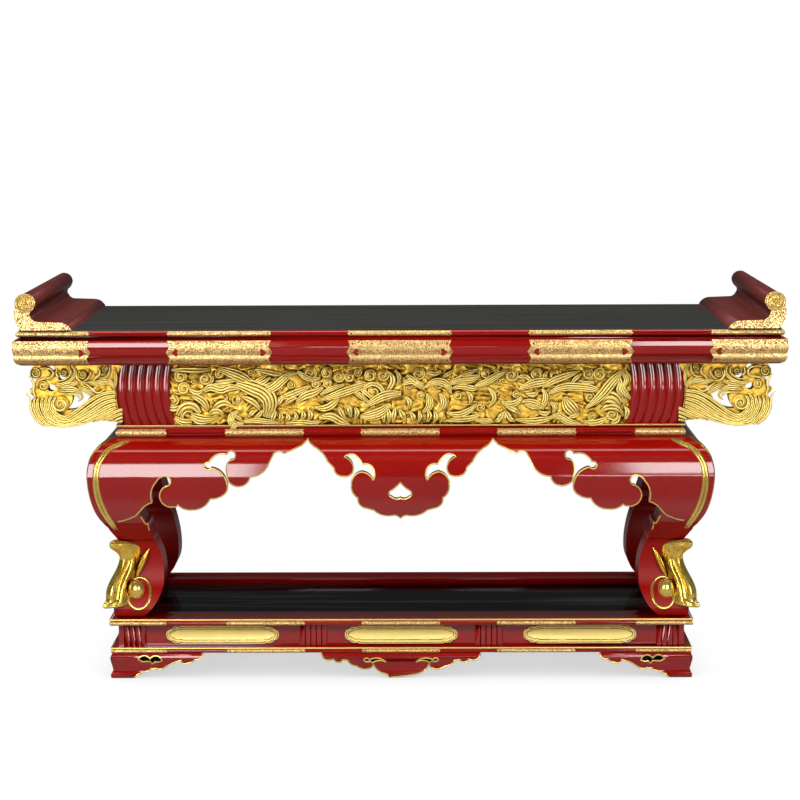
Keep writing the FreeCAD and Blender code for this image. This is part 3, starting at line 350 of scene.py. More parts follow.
def finish_piece(name, mesh, finish_material, replaced=(), sharp=38):
    """Makes an object of a bmesh, gives it its material and lets it ride on the table."""
    data = bpy.data.meshes.new(name)
    bmesh.ops.recalc_face_normals(mesh, faces=mesh.faces)
    mesh.to_mesh(data)
    mesh.free()
    data.materials.append(finish_material)
    for face in data.polygons:
        face.use_smooth = True
    data.set_sharp_from_angle(angle=math.radians(sharp))
    piece = bpy.data.objects.new(name, data)
    bpy.context.scene.collection.objects.link(piece)
    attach(piece, "root")
    if replaced:
        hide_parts(*replaced)
    return piece


def node_copy(node):
    """A bmesh of a CAD node with its loose triangles merged."""
    mesh = bmesh.new()
    mesh.from_mesh(frame["nodes"][node].data)
    bmesh.ops.remove_doubles(mesh, verts=mesh.verts, dist=0.01 * MM)
    return mesh


def tubes(paths, sides=2, steps=4, smooth=True):
    """A bmesh of round strands. A path is a list of (place, radius) in metres."""
    curve = bpy.data.curves.new("strands", "CURVE")
    curve.dimensions = "3D"
    curve.bevel_depth = 1
    curve.bevel_resolution = sides
    curve.resolution_u = steps
    curve.use_fill_caps = True
    for path in paths:
        spline = curve.splines.new("BEZIER" if smooth else "POLY")
        points = spline.bezier_points if smooth else spline.points
        points.add(len(path) - 1)
        for point, (place, radius) in zip(points, path):
            if smooth:
                point.co = place
                point.handle_left_type = point.handle_right_type = "AUTO"
            else:
                point.co = (*place, 1)
            point.radius = radius
    holder = bpy.data.objects.new("strands", curve)
    data = bpy.data.meshes.new_from_object(holder)
    mesh = bmesh.new()
    mesh.from_mesh(data)
    bpy.data.objects.remove(holder)
    bpy.data.curves.remove(curve)
    bpy.data.meshes.remove(data)
    return mesh


def join(meshes):
    """One bmesh of several; the others are freed."""
    whole = meshes[0]
    for mesh in meshes[1:]:
        data = bpy.data.meshes.new("part")
        mesh.to_mesh(data)
        mesh.free()
        whole.from_mesh(data)
        bpy.data.meshes.remove(data)
    return whole


def mirrored(mesh, axes="X"):
    """The bmesh with its mirror image across each of these axes added."""
    for axis in axes:
        bmesh.ops.mirror(mesh, geom=mesh.verts[:] + mesh.edges[:] + mesh.faces[:], axis=axis,
                         merge_dist=-1)
    return mesh


def round_corner(place, corner):
    """A place on the front of a corner piece, moved to the same spot on its side."""
    shift = corner.y - corner.x
    return Vector((place.y - shift, place.x + shift, place.z))


def dressed(node):
    """A bmesh of a node's lacquered piece."""
    mesh = bmesh.new()
    mesh.from_mesh(bpy.data.objects[node + "_lacquered"].data)
    return mesh


def ray_onto(*nodes):
    """A function that gives the first point of the nodes' surface in front of (x, z)."""
    mesh = join([node_copy(node) if node + "_lacquered" not in bpy.data.objects else dressed(node)
                 for node in nodes])
    tree = BVHTree.FromBMesh(mesh)
    mesh.free()

    def hit(x, z, shift=0.0):
        # A ray can slip through an edge, so a miss is tried again a hair beside it
        for nudge in (0, 0.02 * MM, -0.03 * MM):
            found = tree.ray_cast(Vector((x + nudge, -1, z + nudge)), Vector((0, 1, 0)))[0]
            if found is not None:
                return found + FRONT * shift
        raise RuntimeError(f"nothing of {nodes} lies in front at {x:.4f}, {z:.4f}")

    return hit


def chains(edges):
    """Edges that share ends, as lists of points."""
    # A dict keeps its order, so the lines begin at the same places each time
    left = dict.fromkeys(edges)
    found = []
    while left:
        edge = left.popitem()[0]
        line = [edge.verts[0], edge.verts[1]]
        for end in (1, 0):
            while True:
                tip = line[-1] if end else line[0]
                following = [e for e in tip.link_edges if e in left]
                if not following:
                    break
                del left[following[0]]
                other = following[0].other_vert(tip)
                line.insert(len(line) if end else 0, other)
        found.append([vert.co.copy() for vert in line])
    return found


def cut_edge_lines(mesh, keep):
    """Lines along the arris between the face of a board and its sawn edge."""
    wanted = []
    for edge in mesh.edges:
        if len(edge.link_faces) != 2 or not keep((edge.verts[0].co + edge.verts[1].co) / 2):
            continue
        facing = sorted(face.normal.dot(FRONT) for face in edge.link_faces)
        if facing[1] > 0.3 and abs(facing[0]) < 0.12:
            wanted.append(edge)
    lines = chains(wanted)
    mesh.free()
    return lines


def band(points, ridges, lift, ground):
    """Strands side by side along a line. A point is across, up and half width, in mm.

    lift raises their middle from the plane Y = ground, in mm."""
    spots = [Vector(point[:2]) for point in points]
    paths = []
    for ridge in range(ridges):
        share = (2 * ridge + 1) / ridges - 1
        path = []
        for at, (spot, point) in enumerate(zip(spots, points)):
            along = spots[min(at + 1, len(spots) - 1)] - spots[max(at - 1, 0)]
            side = along.orthogonal().normalized()
            half = point[2]
            place = spot + side * half * share
            crown = lift + 0.45 * half * (1 - share ** 2)
            path.append((Vector((place.x, ground - crown, place.y)) * MM,
                         max(1.1 * half / ridges, 0.5) * MM))
        paths.append(path)
    return paths


def cloud_head(x, z, size, hand, ground):
    """The rim of a cloud head, which winds in to its bead."""
    path = []
    for step in range(11):
        share = step / 10
        angle = math.radians(60) + hand * math.tau * 1.4 * share
        reach = size * (0.86 - 0.66 * share)
        path.append((Vector((x + reach * math.cos(angle), ground - 3 - 2 * share,
                             z + reach * math.sin(angle))) * MM,
                     size * (0.17 - 0.05 * abs(2 * share - 1)) * MM))
    return path


def dome(x, z, size, height, ground):
    """A low round swelling on the plane Y = ground; all in mm."""
    mesh = bmesh.new()
    place = Matrix.LocRotScale(Vector((x, ground, z)) * MM, None,
                               Vector((size, height, size)) * MM)
    bmesh.ops.create_uvsphere(mesh, u_segments=14, v_segments=8, radius=1, matrix=place)
    return mesh


def carving(heads, bands, ground):
    """The strands and the cloud heads of a carved relief, as one bmesh."""
    paths = [path for ridges, lift, points in bands for path in band(points, ridges, lift, ground)]
    paths += [cloud_head(*head, ground) for head in heads]
    parts = [tubes(paths, sides=1, steps=3)]
    for x, z, size, hand in heads:
        parts.append(dome(x, z, size * 0.98, 4, ground))
        parts.append(dome(x, z, size * 0.24, 8, ground))
    return join(parts)


def curls(x, z):
    """Height in mm of the low curls that fill a carved ground; x and z in mm."""
    bend = noise(Vector((x / 24, z / 24, 4.0)))
    wide = noise(Vector((x / 46 + 0.5 * bend, z / 30, 1.5)))
    swell = noise(Vector((x / 30, z / 22, 9.0)))
    return 3.2 * abs(math.sin(9.5 * wide + 0.8 * bend)) ** 0.8 + 2.5 * swell


# The curve of the legs and the aprons

# Profile of a leg and of the aprons from the top down, as shares of the leg's plan size and of
# its height above the base: a start, then the middle and the end of an arc, or the end of a line
LEG_PROFILE = (
    (0.426, 1.000), (0.288, 0.988, 0.104, 0.938), (0.030, 0.879, 0.000, 0.801),
    (0.032, 0.689, 0.182, 0.540), (0.356, 0.437), (0.528, 0.300, 0.420, 0.150),
    (0.330, 0.095, 0.290, 0.050), (0.305, 0.014, 0.400, 0.000))
# Plan size of a leg, thickness of an apron, and the height where a leg's shin begins
LEG_SIZE = 142 * MM
APRON_BOARD = 22 * MM
SHIN_TOP = 318 * MM


def arc_through(start, middle, end, count=24):
    """Points of the arc through three points."""
    ax, ay, bx, by, cx, cy = *start, *middle, *end
    twice = 2 * (ax * (by - cy) + bx * (cy - ay) + cx * (ay - by))
    first, second, third = (x * x + y * y for x, y in (start, middle, end))
    hub = Vector((first * (by - cy) + second * (cy - ay) + third * (ay - by),
                  first * (cx - bx) + second * (ax - cx) + third * (bx - ax))) / twice
    arm, last = Vector(start) - hub, Vector(end) - hub
    swing = last.angle_signed(arm)
    return [tuple(hub + Matrix.Rotation(swing * step / count, 2) @ arm)
            for step in range(1, count + 1)]


def leg_line(size, height, foot):
    """The leg profile as (up, inset) pairs in metres, from the foot up."""
    points = [LEG_PROFILE[0]]
    for row in LEG_PROFILE[1:]:
        points += arc_through(points[-1], row[:2], row[2:]) if len(row) == 4 else [row]
    return sorted((foot + height * up, size * inset) for inset, up in points)


def inset_at(line, up):
    """Inset of the profile at a height."""
    for (low, first), (high, last) in zip(line, line[1:]):
        if low <= up <= high and high > low:
            return first + (last - first) * (up - low) / (high - low)
    return None


def true_bulge(mesh, line, half, board, step=4 * MM):
    """Cuts a curved board or leg in level strips and sets their corners on the true profile."""
    low, high = line[0][0], line[-1][0]
    for cut in range(1, int((high - low) / step)):
        bmesh.ops.bisect_plane(mesh, geom=mesh.verts[:] + mesh.edges[:] + mesh.faces[:],
                               plane_co=(0, 0, low + cut * step), plane_no=(0, 0, 1))
    # The CAD faces lie this close to the true curve at most
    near = 1.4 * MM
    for vert in mesh.verts:
        inset = inset_at(line, vert.co.z)
        if inset is None:
            continue
        for axis in (0, 1):
            sign = 1 if vert.co[axis] > 0 else -1
            for skin in (half[axis] - inset, half[axis] - inset - board):
                if abs(sign * vert.co[axis] - skin) < near:
                    vert.co[axis] = sign * skin
    return mesh


def true_normals(data, line, half):
    """Lets the light run over the faces on the profile as over the true curve."""
    reach = 2 * MM

    def tilt(up):
        low, high = (inset_at(line, min(max(up + step, line[0][0]), line[-1][0]))
                     for step in (-reach, reach))
        return (high - low) / (2 * reach)

    normals = []
    for face in data.polygons:
        axis = 0 if abs(face.normal.x) > abs(face.normal.y) else 1
        sign = 1 if face.center[axis] > 0 else -1
        for loop in face.loop_indices:
            place = data.vertices[data.loops[loop].vertex_index].co
            true = Vector((0, 0, tilt(place.z)))
            true[axis] = sign
            true.normalize()
            match = true.dot(face.normal)
            normals.append(true * (1 if match > 0 else -1) if abs(match) > 0.9 else Vector())
    data.normals_split_custom_set(normals)


# Operators

class ALTAR_OT_woodwork(bpy.types.Operator):
    """Lacquer on the boards, rails, posts and legs, with true curves and soft arrises"""

    bl_idname = "altar.woodwork"
    bl_label = "Lacquer the woodwork"

    # A board with fewer faces than this has straight edges, which are rubbed round
    plain_board = 60

    def execute(self, context):
        settings = context.scene.altar_table
        finish = settings.finish
        red = red_urushi(finish)
        # The top's grey and the base panel's lighter streaks are painted sheen and painted
        # reflections
        satin = plain_urushi("black_urushi_satin", finish.satin, 1.35, 0.08, 0.34)
        bright = plain_urushi("black_urushi_bright", finish.black, 44, 0.05, 0.07, 0.5)
        # The scroll ends' maroon is the red painted darker and greyer: painted shade and reflection
        rubbed = plain_urushi("red_urushi_satin_painted_shade", finish.maroon, 1.2, 0.3, 0.4)
        shin = red_urushi(finish, "red_urushi_shin", 0.36, 0.15)
        coats = {"black_lacquer": bright, "gilt_wood": gold_leaf_flat(finish),
                 "gilt_brass": chased_brass(finish), "plain_wood": planed_cypress(finish)}
        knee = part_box("front_legs")
        half = (-knee[0].x, -knee[0].y)
        height = knee[1].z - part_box("base_rail_front")[1].z
        line = leg_line(LEG_SIZE, height, knee[1].z - height)
        for part in frame["record"]["subparts"]:
            name, slot = part["node"], part["material_slot"]
            if slot != "red_lacquer":
                finishes = frame["nodes"][name].data.materials
                finishes.clear()
                finishes.append(satin if name == "top_panel" else coats[slot])
                continue
            if name == "waist_posts":
                continue
            mesh = node_copy(name)
            curved = name.endswith("legs") or name.startswith("apron")
            if curved:
                true_bulge(mesh, line, half, APRON_BOARD)
            coat = rubbed if name == "scroll_ends" else red
            piece = finish_piece(name + "_lacquered", mesh, coat, [name])
            if name.endswith("legs"):
                # Below the knee the coat is rubbed and mirrors nothing sharp
                piece.data.materials.append(shin)
                for face in piece.data.polygons:
                    face.material_index = int(face.center.z < SHIN_TOP)
            if curved:
                true_normals(piece.data, line, half)
            elif len(piece.data.polygons) < self.plain_board:
                soften = piece.modifiers.new("Arris", "BEVEL")
                soften.width = settings.trim.arris
                soften.segments = 2
                soften.limit_method = "ANGLE"
                soften.angle_limit = math.radians(40)
                soften.harden_normals = True
        return {"FINISHED"}


class ALTAR_OT_waist_posts(bpy.types.Operator):
    """Corner posts of the waist, with reeds that swell with the post"""

    bl_idname = "altar.waist_posts"
    bl_label = "Reed the waist posts"

    # Reeds on each face of a post, with their depth and the power that makes them round
    reeds, depth, fullness = 6, 4 * MM, 0.7
    width, corner, wall = 106 * MM, 2.5 * MM, 6 * MM
    # The share of its height where a post is widest, and how far it draws in at its foot
    widest, draw_side, draw_front = 0.6, 13 * MM, 9 * MM

    def execute(self, context):
        low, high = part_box("waist_posts")
        mesh = bmesh.new()
        # The right half of the grid is the front of a post, and the left half is its side
        bmesh.ops.create_grid(mesh, x_segments=16 * self.reeds, y_segments=28, size=1)
        for vert in mesh.verts:
            share = abs(vert.co.x)
            up = (vert.co.y + 1) / 2
            drawn = ((up - self.widest) / self.widest) ** 2
            edge = -low.x - self.draw_side * drawn
            front = -low.y - self.draw_front * drawn
            reed = abs(math.sin(math.pi * self.reeds * share)) ** self.fullness
            place = Vector((self.width * share - edge, self.depth * (1 - reed) - front,
                            low.z + (high.z - low.z) * up))
            if share == 0:
                place.x, place.y = self.corner - edge, self.corner - front
            vert.co = round_corner(place, low) if vert.co.x < 0 else place
        bmesh.ops.recalc_face_normals(mesh, faces=mesh.faces)
        bmesh.ops.solidify(mesh, geom=mesh.faces, thickness=self.wall)
        mirrored(mesh, "XY")
        coat = bpy.data.materials["red_urushi_polished"]
        finish_piece("waist_posts_reeded", mesh, coat, ["waist_posts"])
        return {"FINISHED"}


def inlay(hit, outline, proud=0.6 * MM, thick=1 * MM):
    """A thin plate that follows the surface; its outline is across and up, in mm."""
    mesh = bmesh.new()
    ring = bmesh.ops.create_circle(mesh, cap_ends=True, segments=len(outline), radius=1)["verts"]
    for vert, (x, z) in zip(ring, outline):
        vert.co = hit(x * MM, z * MM, proud)
    middle = bmesh.ops.poke(mesh, faces=mesh.faces[:])["verts"][0]
    middle.co = hit(middle.co.x, middle.co.z, proud)
    bmesh.ops.solidify(mesh, geom=mesh.faces[:], thickness=thick)
    return mesh


def heart(x, z, size, hand):
    """Outline of a heart-shaped eyelet with its tip towards hand."""
    outline = []
    for step in range(18):
        turn = math.tau * step / 18
        waves = zip((13, -5, -2, -1), (1, 2, 3, 4))
        out = sum(share * math.cos(times * turn) for share, times in waves) / 16
        outline.append((x - hand * size * out, z + size * math.sin(turn) ** 3))
    return outline


def round_hole(x, z, size):
    """Outline of a round eyelet."""
    return [(x + size * math.cos(math.tau * step / 8), z + size * math.sin(math.tau * step / 8))
            for step in range(8)]


# Ends of the fittings on one half: node, height, and for each end its place and the side that it
# points to, in mm
FITTING_ENDS = (
    ("band_fittings", 659.5, ((607, -1), (454, 1), (252, -1), (101, 1))),
    ("lip_fittings", 695.5, ((607, -1), (454, 1), (252, -1), (101, 1))),
    ("mid_fittings", 492.0, ((465, -1), (348, 1), (192, -1), (78, 1))),
    ("base_fittings", 111.4, ((468, -1), (348, 1), (192, -1), (78, 1))),
    ("base_fittings", 55.0, ((468, -1), (348, 1), (192, -1), (78, 1))))


class ALTAR_OT_eyelets(bpy.types.Operator):
    """Heart-shaped and round eyelets of the fittings, with the red lacquer in them"""

    bl_idname = "altar.eyelets"
    bl_label = "Pierce the fittings"

    # How far in from the end of a fitting its eyelets lie and how large they are, in mm: the
    # single hole of a narrow fitting, and the heart and the pair of holes of a wide one
    single_in, single_size = 6, 1.6
    heart_in, heart_size = 15.5, 7.2
    pair_in, pair_size, pair_rise = 9, 2, 17

    def execute(self, context):
        parts = []
        for node, height, ends in FITTING_ENDS:
            hit = ray_onto(node)
            for (end, hand), side in product(ends, (-1, 1)):
                if node != "band_fittings":
                    at = side * (end - self.single_in * hand)
                    parts.append(inlay(hit, round_hole(at, height, self.single_size)))
                    continue
                at = side * (end - self.heart_in * hand)
                parts.append(inlay(hit, heart(at, height, self.heart_size, side * hand)))
                at = side * (end - self.pair_in * hand)
                for rise in (-self.pair_rise, self.pair_rise):
                    parts.append(inlay(hit, round_hole(at, height + rise, self.pair_size)))
        coat = bpy.data.materials["red_urushi_polished"]
        finish_piece("fitting_eyelets", join(parts), coat)
        return {"FINISHED"}


class ALTAR_OT_cap_trim(bpy.types.Operator):
    """Raised rim and flower boss on the gilt cap of each scroll end"""

    bl_idname = "altar.cap_trim"
    bl_label = "Trim the scroll caps"

    rim = 1.5 * MM
    # Middle of the boss, across and up in mm, and the half width and the height of its bead
    hub_across, hub_up = 731.3, 757.1
    bead, bead_height = 3.2, 4
    # Rings of the boss: reach and half thickness in mm, and steps round them
    rings = ((16.6, 2.1, 40), (11.8, 1.3, 24))
    # Petals of the boss: how many, how far out they lie, and their half sizes in mm
    petals, petal_reach, petal_size = 8, 6.6, (3.9, 2.6, 2.4)

    def execute(self, context):
        coat = bpy.data.materials["gilt_line_powder"]
        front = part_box("scroll_caps")[0].y
        hub = Vector((self.hub_across * MM, front, self.hub_up * MM))

        def around(share, reach):
            """The angle at this share of a turn, and the place there."""
            angle = math.tau * share
            return angle, hub + Vector((math.cos(angle), 0, math.sin(angle))) * reach * MM

        rings = [[(around(step / steps, reach)[1], thick * MM) for step in range(steps + 1)]
                 for reach, thick, steps in self.rings]
        parts = [tubes(rings, smooth=False)]
        for step in range(self.petals):
            angle, place = around(step / self.petals, self.petal_reach)
            size = Matrix.LocRotScale(place, Matrix.Rotation(-angle, 3, "Y"),
                                      Vector(self.petal_size) * MM)
            petal = bmesh.new()
            bmesh.ops.create_uvsphere(petal, u_segments=10, v_segments=6, radius=1, matrix=size)
            parts.append(petal)
        parts.append(dome(self.hub_across, self.hub_up, self.bead, self.bead_height, front / MM))
        finish_piece("cap_bosses", mirrored(join(parts)), coat)

        lines = cut_edge_lines(node_copy("scroll_caps"), lambda at: at.y < front + 2 * MM)
        rims = tubes([[(place, self.rim) for place in line] for line in lines],
                     sides=1, smooth=False)
        finish_piece("cap_rims", rims, coat)
        return {"FINISHED"}


class ALTAR_OT_lobed_panels(bpy.types.Operator):
    """Gilt panels of the base, each with a darker rim and a sunk field"""

    bl_idname = "altar.lobed_panels"
    bl_label = "Rim the lobed panels"

    # Width of the rim and of the darker slope inside it, and how deep the field is sunk
    rim, slope, sunk = 1.6 * MM, 1.6 * MM, 1 * MM

    def execute(self, context):
        finish = context.scene.altar_table.finish
        mesh = node_copy("lobed_panels")
        bmesh.ops.dissolve_limit(mesh, angle_limit=0.02, verts=mesh.verts, edges=mesh.edges)
        front = [face for face in mesh.faces if face.normal.dot(FRONT) > 0.99]
        bmesh.ops.inset_individual(mesh, faces=front, thickness=self.rim, depth=0)
        slope = bmesh.ops.inset_individual(mesh, faces=front, thickness=self.slope,
                                           depth=-self.sunk)["faces"]
        for face in slope:
            face.material_index = 1
        piece = finish_piece("lobed_panels_rimmed", mesh, bpy.data.materials["gold_leaf_burnished"],
                             ["lobed_panels"])
        # The slope takes the carving gold with its painted shade, set low so that it reads darker
        piece.data.materials.append(gold_leaf(finish, "gold_leaf_dark_slope", 0.15, 0.5))
        return {"FINISHED"}


# Outer and inner line of the pair of beads on a leg, in mm: across, up
BEAD_PAIRS = (
    ((539, 480.8), (535.5, 477.2)), ((551, 477.5), (546.5, 473.5)),
    ((573.4, 469.5), (569, 463.5)), ((591.4, 453.9), (582.5, 450)),
    ((600.8, 437), (590.3, 434.5)), ((604.8, 417.6), (593.3, 415)), ((605.8, 397.6), (593, 396)),
    ((604.1, 377.1), (590, 378.5)), ((597.7, 351.8), (583, 353)), ((589.3, 332.1), (575.5, 333)),
    ((577.3, 311.9), (566.5, 313)), ((570.6, 300.3), (562, 303)))


class ALTAR_OT_leg_beads(bpy.types.Operator):
    """A pair of gilt beads down the front and the side of each leg"""

    bl_idname = "altar.leg_beads"
    bl_label = "Lay the beads on the legs"

    def execute(self, context):
        settings = context.scene.altar_table
        radius = settings.trim.bead
        hit = ray_onto("front_legs")
        paths = []
        for share in (0.25, 0.75):
            path = []
            for outer, inner in BEAD_PAIRS:
                x, z = Vector(outer).lerp(Vector(inner), share) * MM
                path.append((hit(-x, z), radius))
            # Both ends of a bead taper
            path[0], path[-1] = (path[0][0], 0.4 * radius), (path[-1][0], 0.4 * radius)
            paths.append(path)
        # The side face of a leg has the same line as its front face
        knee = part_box("front_legs")[0]
        turned = [[(round_corner(place, knee), size) for place, size in path] for path in paths]
        mesh = mirrored(tubes(paths + turned, sides=3), "XY")
        coat = gilt_line(settings.finish, "gilt_bead_burnished", 0.16, 0.85, 70)
        finish_piece("leg_bead_pairs", mesh, coat, ["leg_beads"])
        return {"FINISHED"}


# The line that parts the knee from the shin, across and up, and the lines round the rails, half
# across, half deep and up, in mm
SHIN_LINE = ((561, 319.8), (554, 321), (546.5, 323.1), (538, 326.2), (531, 329.3), (525, 332))
RAIL_LINES = ((564.5, 189, 506.2), (582, 219.4, 118.3), (580.2, 219.4, 60.3))
RAIL_LINE_RADIUS = 1.7 * MM


class ALTAR_OT_gilt_lines(bpy.types.Operator):
    """Gilt lines along the sawn edges of the apron, the feet and the base pendant"""

    bl_idname = "altar.gilt_lines"
    bl_label = "Gild the cut edges"

    def execute(self, context):
        settings = context.scene.altar_table
        radius = settings.trim.line
        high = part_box("front_legs")[1].z
        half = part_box("apron_front")[1].x
        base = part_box("bracket_feet")[1]
        lines = cut_edge_lines(dressed("apron_front"),
                               lambda at: at.z < high - MM and abs(at.x) < half - MM)
        # The short edge of the leg that goes on from the apron's edge, towards the shin
        lines += cut_edge_lines(dressed("front_legs"), lambda at: 300 * MM < at.z < 330 * MM
                                and 495 * MM < abs(at.x) < 514.5 * MM and at.y < -190 * MM)
        for node in ("bracket_feet", "base_pendant"):
            lines += cut_edge_lines(dressed(node), lambda at: MM < at.z < base.z - MM
                                    and abs(at.x) < base.x - 30 * MM and at.y < 0)
        # The feet stand on their red ends, so the line keeps clear of the floor
        paths = [[(Vector((place.x, place.y, max(place.z, radius))), radius) for place in line]
                 for line in lines if len(line) > 2]
        hit = ray_onto("front_legs", "apron_front")
        for side in (-1, 1):
            paths.append([(hit(side * x * MM, z * MM), radius) for x, z in SHIN_LINE])
        corners = ((-1, -1), (1, -1), (1, 1), (-1, 1), (-1, -1))
        hoops = [[(Vector((a * across, d * deep, up)) * MM, RAIL_LINE_RADIUS) for a, d in corners]
                 for across, deep, up in RAIL_LINES]
        mesh = join([tubes(paths, sides=1, smooth=False), tubes(hoops, smooth=False)])
        finish_piece("gilt_edge_lines", mesh, gilt_line(settings.finish))
        return {"FINISHED"}


class ALTAR_OT_foot_cutout_shade_plates(bpy.types.Operator):
    """Painted shade: black plates sunk in the comma cut-outs of bracket feet and base pendant"""

    bl_idname = "altar.foot_recesses"
    bl_label = "Back the cut-outs of the feet"

    sunk, thick = 4 * MM, 1 * MM

    def execute(self, context):
        parts = []
        for node in ("bracket_feet", "base_pendant"):
            for line in cut_edge_lines(dressed(node), lambda at: MM < at.z < 50 * MM):
                # Only a closed line is the edge of a cut-out
                if len(line) < 6 or (line[0] - line[-1]).length > 0.01 * MM:
                    continue
                plate = bmesh.new()
                ring = bmesh.ops.create_circle(plate, cap_ends=True, segments=len(line) - 1,
                                               radius=1)
                for vert, place in zip(ring["verts"], line):
                    vert.co = place - FRONT * self.sunk
                bmesh.ops.solidify(plate, geom=plate.faces[:], thickness=self.thick)
                parts.append(plate)
        # The plates stand in for the shade under the base that the cut-outs would show
        coat = bpy.data.materials["black_urushi_bright"]
        finish_piece("foot_recesses", join(parts), coat)
        return {"FINISHED"}


# The frieze, in mm. A cloud head is across, up, size and the hand it winds; a band of strands
# is their number, their lift and the points of their line: across, up, half width
FRIEZE_HEADS = (
    (-435.5, 604.5, 13, 1), (-387, 600, 13, -1), (-429, 580.5, 12.5, 1), (-451.5, 556.5, 12, -1),
    (-357.5, 609.5, 10, 1), (-178.5, 610.5, 13.5, -1), (-166.5, 589, 9.5, 1),
    (-217, 587.5, 8.5, -1), (-458.5, 575, 7, 1), (-296, 613, 8, -1), (-408.5, 595, 6, 1),
    (-145.5, 611, 11.5, 1), (-121.5, 603, 12, -1), (-100, 602, 10.5, 1), (-84.5, 612, 9, -1),
    (-59, 605, 13, 1), (-34, 606, 12.5, -1), (-143.5, 589.5, 9.5, 1), (36.5, 608.5, 13, -1),
    (-52, 573, 13.5, 1), (17, 580, 7, -1), (77.5, 587, 9, 1), (39.5, 565, 8.5, -1),
    (115, 565, 8.5, 1), (48, 522, 5.5, 1), (86, 517.5, 5.5, -1), (170, 608, 10.5, 1),
    (220.5, 605.5, 13.5, -1), (271, 606, 13, 1), (308, 604, 13, -1), (336, 608, 9.5, 1),
    (371.5, 608, 11, -1), (395.5, 606.5, 13.5, 1), (376, 561, 10, -1), (230, 566.5, 7.5, 1),
    (380, 522, 8.5, 1), (419.5, 526, 12.5, -1), (444.5, 555, 7, 1), (459, 558.5, 6, -1),
    (191, 571, 7.5, 1), (196, 594, 7, -1), (158.5, 541.5, 9, -1))
